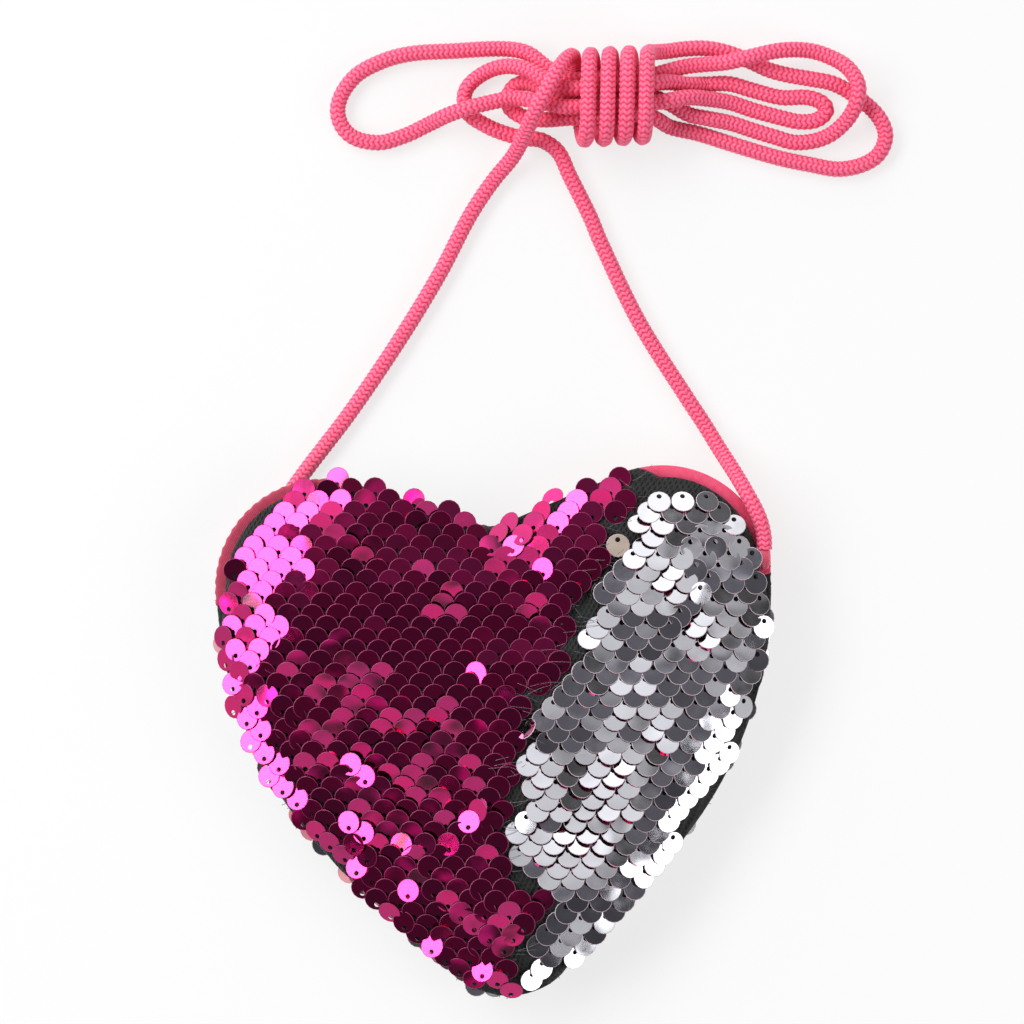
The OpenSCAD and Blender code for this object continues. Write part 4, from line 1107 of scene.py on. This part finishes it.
def drop_on_front(x, y):
    """The front cloth's surface and normal straight below a place, or None and None."""
    hit = front_tree.ray_cast(Vector((x, y, 40)) * MM, Vector((0, 0, -1)))
    return (None, None) if hit[0] is None else (np.array(hit[0]) / MM, np.array(hit[1]))


rows_n, cols_n = 26, 15


def thread_places(lean):
    """Threads in staggered rows, with a little wander. The rows lie level in the picture."""
    for j in range(-rows_n, rows_n + 1):
        row_lie = rng.gauss(0, 1)
        for i in range(-cols_n, cols_n + 1):
            a = (i + 0.5 * (j % 2)) * pitch_x - lean * j + rng.gauss(0, 0.1)
            b = j * pitch_y + rng.gauss(0, 0.09)
            yield (a * math.cos(picture_turn) - b * math.sin(picture_turn),
                   a * math.sin(picture_turn) + b * math.cos(picture_turn), row_lie)


def front_limit(x, y):
    """How far out a sequin's middle may lie: less at the black seam and at the bare band."""
    if x < 0 and y < -8:
        return 0.975
    if x < -45 and y > 26:
        return 0.98
    if x < -18:
        return 1.0 + 0.02 * (y > 40)
    if x > 8 and y < 12:
        return 0.965
    bearing = math.degrees(math.atan2(y - lobe_c[1], x - lobe_c[0]))
    if x > 25 and 62 < bearing < 110:
        return 0.94
    return 0.98


# Lean of a flipped sequin from the cloth's own slope, its height over the cloth, the bare
# distances beside the zone line and round the loose sequin, and the random lean in degrees
brushed, on_cloth = 0.16, 0.62
bare_side, bare_ring = 0.55, 3.8
spread_x, spread_y, spread_row = 2.3, {1: 2.0, -1: 3.0}, {1: 0.7, -1: 2.0}

fields = {1: [], -1: []}
for x, y, row_lie in thread_places(row_lean):
    s = float(share_out(front_reach, x, y))
    side = zone_side(x, y)
    if s > 1.02 or abs(side) < bare_side or math.hypot(*(loose_at - (x, y))) < bare_ring:
        continue
    # No silver disc reaches over the line with its free end
    if side > 0 and min(zone_side(x + 2.5, y - 2.4), zone_side(x - 2.5, y - 2.4),
                        zone_side(x, y - 5.2)) < 0.3:
        continue
    way = 1 if side < 0 else -1
    cx, cy = x, y + way * hole_off
    if float(share_out(front_reach, cx, cy)) > front_limit(cx, cy):
        continue
    hit, n = drop_on_front(cx, cy)
    # Where the disc's middle lies past the rim, it hangs from its thread
    if hit is None:
        hit, n = drop_on_front(x, y)
        if hit is None:
            continue
        hit = np.array([cx, cy, hit[2] - 0.5])
    if n[2] < 0:
        n = -n
    u, v = leaning(x, y)
    wild = 2.6 if rng.random() < 0.06 else 1.0
    u += math.radians(rng.gauss(0, spread_x) * wild)
    v += math.radians(rng.gauss(0, spread_y[way]) * wild + row_lie * spread_row[way])
    slope = n[:2] / max(n[2], 0.45)
    slope *= min(1.0, 0.9 / max(0.01, np.hypot(*slope)))
    cloth_lie = np.array([slope[0], slope[1] - way * brushed, 1.0])
    tilt = cloth_lie + np.array([u, v, 0])
    # The outermost row rests on the seam's swell, and catches the lamp beside it
    if side > 0 and s > 0.925 and y < 12 and rng.random() < 0.85:
        tilt[:2] = (0.45 + rng.gauss(0, 0.03), -0.24 + rng.gauss(0, 0.03))
    if side < 0 and s > 0.92 and y < 14 and rng.random() < (0.85 if y > -14 else 0.2):
        tilt[:2] = (-0.39 + rng.gauss(0, 0.03), 0.17 + rng.gauss(0, 0.03))
    # One that leans more than its neighbours stands prouder, so that it clears them
    off = math.hypot(*(tilt - cloth_lie)[:2])
    proud = on_cloth + min(0.55, 2.4 * max(0.0, off - 0.1))
    swing = rng.gauss(0, 0.09) - picture_turn
    heading = np.array([math.sin(swing), math.cos(swing), 0]) * way
    fields[way].append((axes(tilt, heading), hit + n * proud, rng.random()))


def lapped(places, way):
    """Sequins lie like tiles: each rests on those of the row that it laps over."""
    spokes = np.array([(math.cos(a), math.sin(a)) for a in np.arange(12) * math.pi / 6]) * disc_r
    recent, clear, most = 90, 0.1, 1.3
    done = []
    for turn, centre, tone in sorted(places, key=lambda place: -way * place[1][1]):
        lie = turn[:2, 2] / turn[2, 2]
        lift = 0.0
        for other, other_lie in done[-recent:]:
            apart = other - centre
            if (apart[1] * way < 0.9 or abs(apart[0]) > 2 * disc_r
                    or math.hypot(apart[0], apart[1]) > 1.96 * disc_r):
                continue
            spots = np.vstack([spokes, spokes + apart[:2], [apart[:2] / 2]])
            both = (np.hypot(*spots.T) < disc_r + 0.01) & (
                np.hypot(*(spots - apart[:2]).T) < disc_r + 0.01)
            spots = spots[both]
            mine = centre[2] - spots @ lie
            theirs = other[2] - (spots - apart[:2]) @ other_lie
            lift = max(lift, float((theirs - mine).max()) + clear)
        centre = centre + np.array([0, 0, min(lift, most)])
        done.append((centre, lie))
        yield turn, centre, tone


magenta, silver = list(lapped(fields[1], 1)), list(lapped(fields[-1], -1))

# One oval-looking disc stands on its edge where the two colours meet
silver.append((axes(np.array([-0.9, 0.75, 0.8]), np.array([0.3, -1.0, 0.0])),
               np.array([5.6, 1.4, float(front_height(5.6, 1.4)) + 2.1]), 0.9))

sequin_field("magenta_sequins_flipped_up", magenta, [magenta_film, silver_film, magenta_edge],
             "front_sequins_magenta")
sequin_field("silver_sequins_flipped_down", silver, [silver_film, magenta_film, silver_edge],
             "front_sequins_silver")


def jitter(degrees):
    return math.radians(rng.gauss(0, degrees))


# The back's sequins keep clear of the seam, the zip and the left tab
back_limit, zip_clear, tab_clear = 0.955, 17, 7
back = []
for x, y, row_lie in thread_places(0.0):
    s = float(share_out(back_reach, x, y))
    c = np.array([x, y - hole_off])
    far_out, bearing = round_zip(c)
    by_zip = far_out > zip_clear and zip_from - 12 < bearing < zip_to + 12 and x > -3
    by_tab = math.hypot(*(c - left_tab)) < tab_clear
    if max(float(share_out(back_reach, *c)), s) > back_limit or by_zip or by_tab:
        continue
    z = float(back_height(*c))
    # The cloth's slope, from its height a little to each side
    e = 0.4
    sx = float(back_height(c[0] + e, c[1]) - back_height(c[0] - e, c[1])) / (2 * e)
    sy = float(back_height(c[0], c[1] + e) - back_height(c[0], c[1] - e)) / (2 * e)
    lean_y = 0.13 + jitter(0.8)
    turned = axes(np.array([sx + jitter(0.8), sy + lean_y, -1]), np.array([0.0, -1.0, 0.0]))
    outward = np.array([sx, sy, -1]) / math.hypot(math.hypot(sx, sy), 1)
    centre = np.array([c[0], c[1], z]) + outward * 0.5
    # None dips into the table
    centre[2] += max(0.0, 0.05 - (disc_verts @ turned.T + centre)[:, 2].min())
    back.append((turned, centre, rng.random()))
# Those along the lower rim stick out from under the seam, turned either way
rim_n = 92
rim_loop = even_loop(back_edge, rim_n)
for k, (x, y) in enumerate(rim_loop):
    if y > 22 or rng.random() < 0.16:
        continue
    out = (rim_loop[(k + 1) % rim_n] - rim_loop[k - 1]) @ np.array([[0, -1], [1, 0]])
    out /= np.linalg.norm(out)
    if out @ np.array([x, y]) < 0:
        out = -out
    c = np.array([x, y]) - out * (rng.uniform(0.1, 1.4) if x < 0 else rng.uniform(1.1, 2.1))
    face = -1 if x < -22 and rng.random() < 0.6 else 1
    drop = rng.uniform(0.1, 0.45)
    tilt = np.array([out[0] * drop, out[1] * drop, 1.0]) * face
    tilt[:2] += [rng.gauss(0, 0.08), rng.gauss(0, 0.08)]
    back.append((axes(tilt, np.array([out[0], out[1], -drop])),
                 np.array([c[0], c[1], 7.15 - 2.3 * drop]), rng.random()))
sequin_field("sequins_on_back", back, [silver_film, salmon_film, silver_edge], "back_sequins")

loose = sequin_field("loose_half_flipped_sequin", [
    (axes(np.array([-0.03, 0.2, 1.0]), np.array([0.0, -1.0, 0.0])),
     np.array([loose_at[0], loose_at[1] - hole_off, 18.6165]), 0.4)],
    [champagne_film, magenta_film, silver_edge], "loose_sequin")
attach(loose, "turned_sequin")

# ---------------------------------------------------------------- threads
# Clear nylon thread sews the sequins on in rows. Where the two colours part, its floats and
# cut ends show over the net, and the black seam's own threads fray along its edge.


def strands(name, lines, thick, material):
    """One piece of many fine strands, each swept along its own few points."""
    verts, faces = [], []
    ring = [(thick * math.cos(a), thick * math.sin(a)) for a in np.arange(5) * math.pi * 0.4]
    for points in lines:
        base = len(verts)
        line, _ = even_steps(smooth_line(np.array(points), 0.1, 5), 0.5)
        v, f = swept(line, lambda i: ring, (0.3, 0.2, 1))
        verts += v
        faces += [tuple(k + base for k in face) for face in f]
    piece = mesh_piece(name, np.array(verts) * MM, faces, material)
    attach(piece, "bag")


clear_nylon, tree, shader = new_material("clear_nylon")
twist = noise(tree, add(tree, "ShaderNodeTexCoord").outputs["Object"], 1100.0, 2.0)
wire(tree, shader, {
    "Base Color": mixed(tree, twist, (0.05, 0.05, 0.055, 1), (0.5, 0.5, 0.52, 1)),
    "Roughness": 0.25, "Transmission Weight": 0.5})

floats_n, frays_n = 78, 60
floats = []
for k in range(floats_n):
    part = rng.random() * (len(zone_line) - 1)
    a, b = zone_line[int(part)], zone_line[int(part) + 1]
    at = a + (b - a) * (part % 1) + np.array([rng.uniform(-1.6, 1.6), rng.uniform(-1, 1)])
    way, long = rng.gauss(-0.05, 0.35), rng.uniform(2.5, 9) * rng.choice([-1, 1])
    curl, rise = rng.uniform(-2.4, 2.4), rng.uniform(0.5, 1.5)
    points = []
    for u in np.linspace(0, 1, 6):
        x = at[0] + long * u * math.cos(way) - curl * u * u * math.sin(way)
        y = at[1] + long * u * math.sin(way) + curl * u * u * math.cos(way)
        hit, n = drop_on_front(x, y)
        z = float(front_height(x, y)) if hit is None else hit[2]
        points.append((x, y, z + 0.35 + rise * math.sin(math.pi * min(1, 0.15 + u))))
    floats.append(points)
strands("clear_sewing_threads", floats, thick=0.045, material=clear_nylon)

black_thread = cloth_material("black_thread", (0.004, 0.004, 0.004), (0.03, 0.03, 0.03),
                              scale=1500.0, depth=0.03, rough=0.7, sheen=0.1)
frays = []
for k in range(frays_n):
    i = rng.randrange(len(low_side) - 1)
    x, y = low_side[i]
    out = np.array([x, y]) / math.hypot(x, y)
    skew = rng.uniform(-1.2, 1.2)
    side_way = np.array([-out[1], out[0]]) * skew
    long = rng.uniform(0.8, 2.4)
    z = seam_mid + rng.uniform(-0.6, 0.9)
    curl = rng.uniform(-1, 1)
    frays.append([(x + (out[0] + side_way[0]) * long * u, y + (out[1] + side_way[1]) * long * u,
                   z + curl * u * u) for u in np.linspace(0, 1, 4)])
strands("frayed_seam_threads", frays, thick=0.06, material=black_thread)

bpy.context.scene.view_settings.view_transform = "Standard"
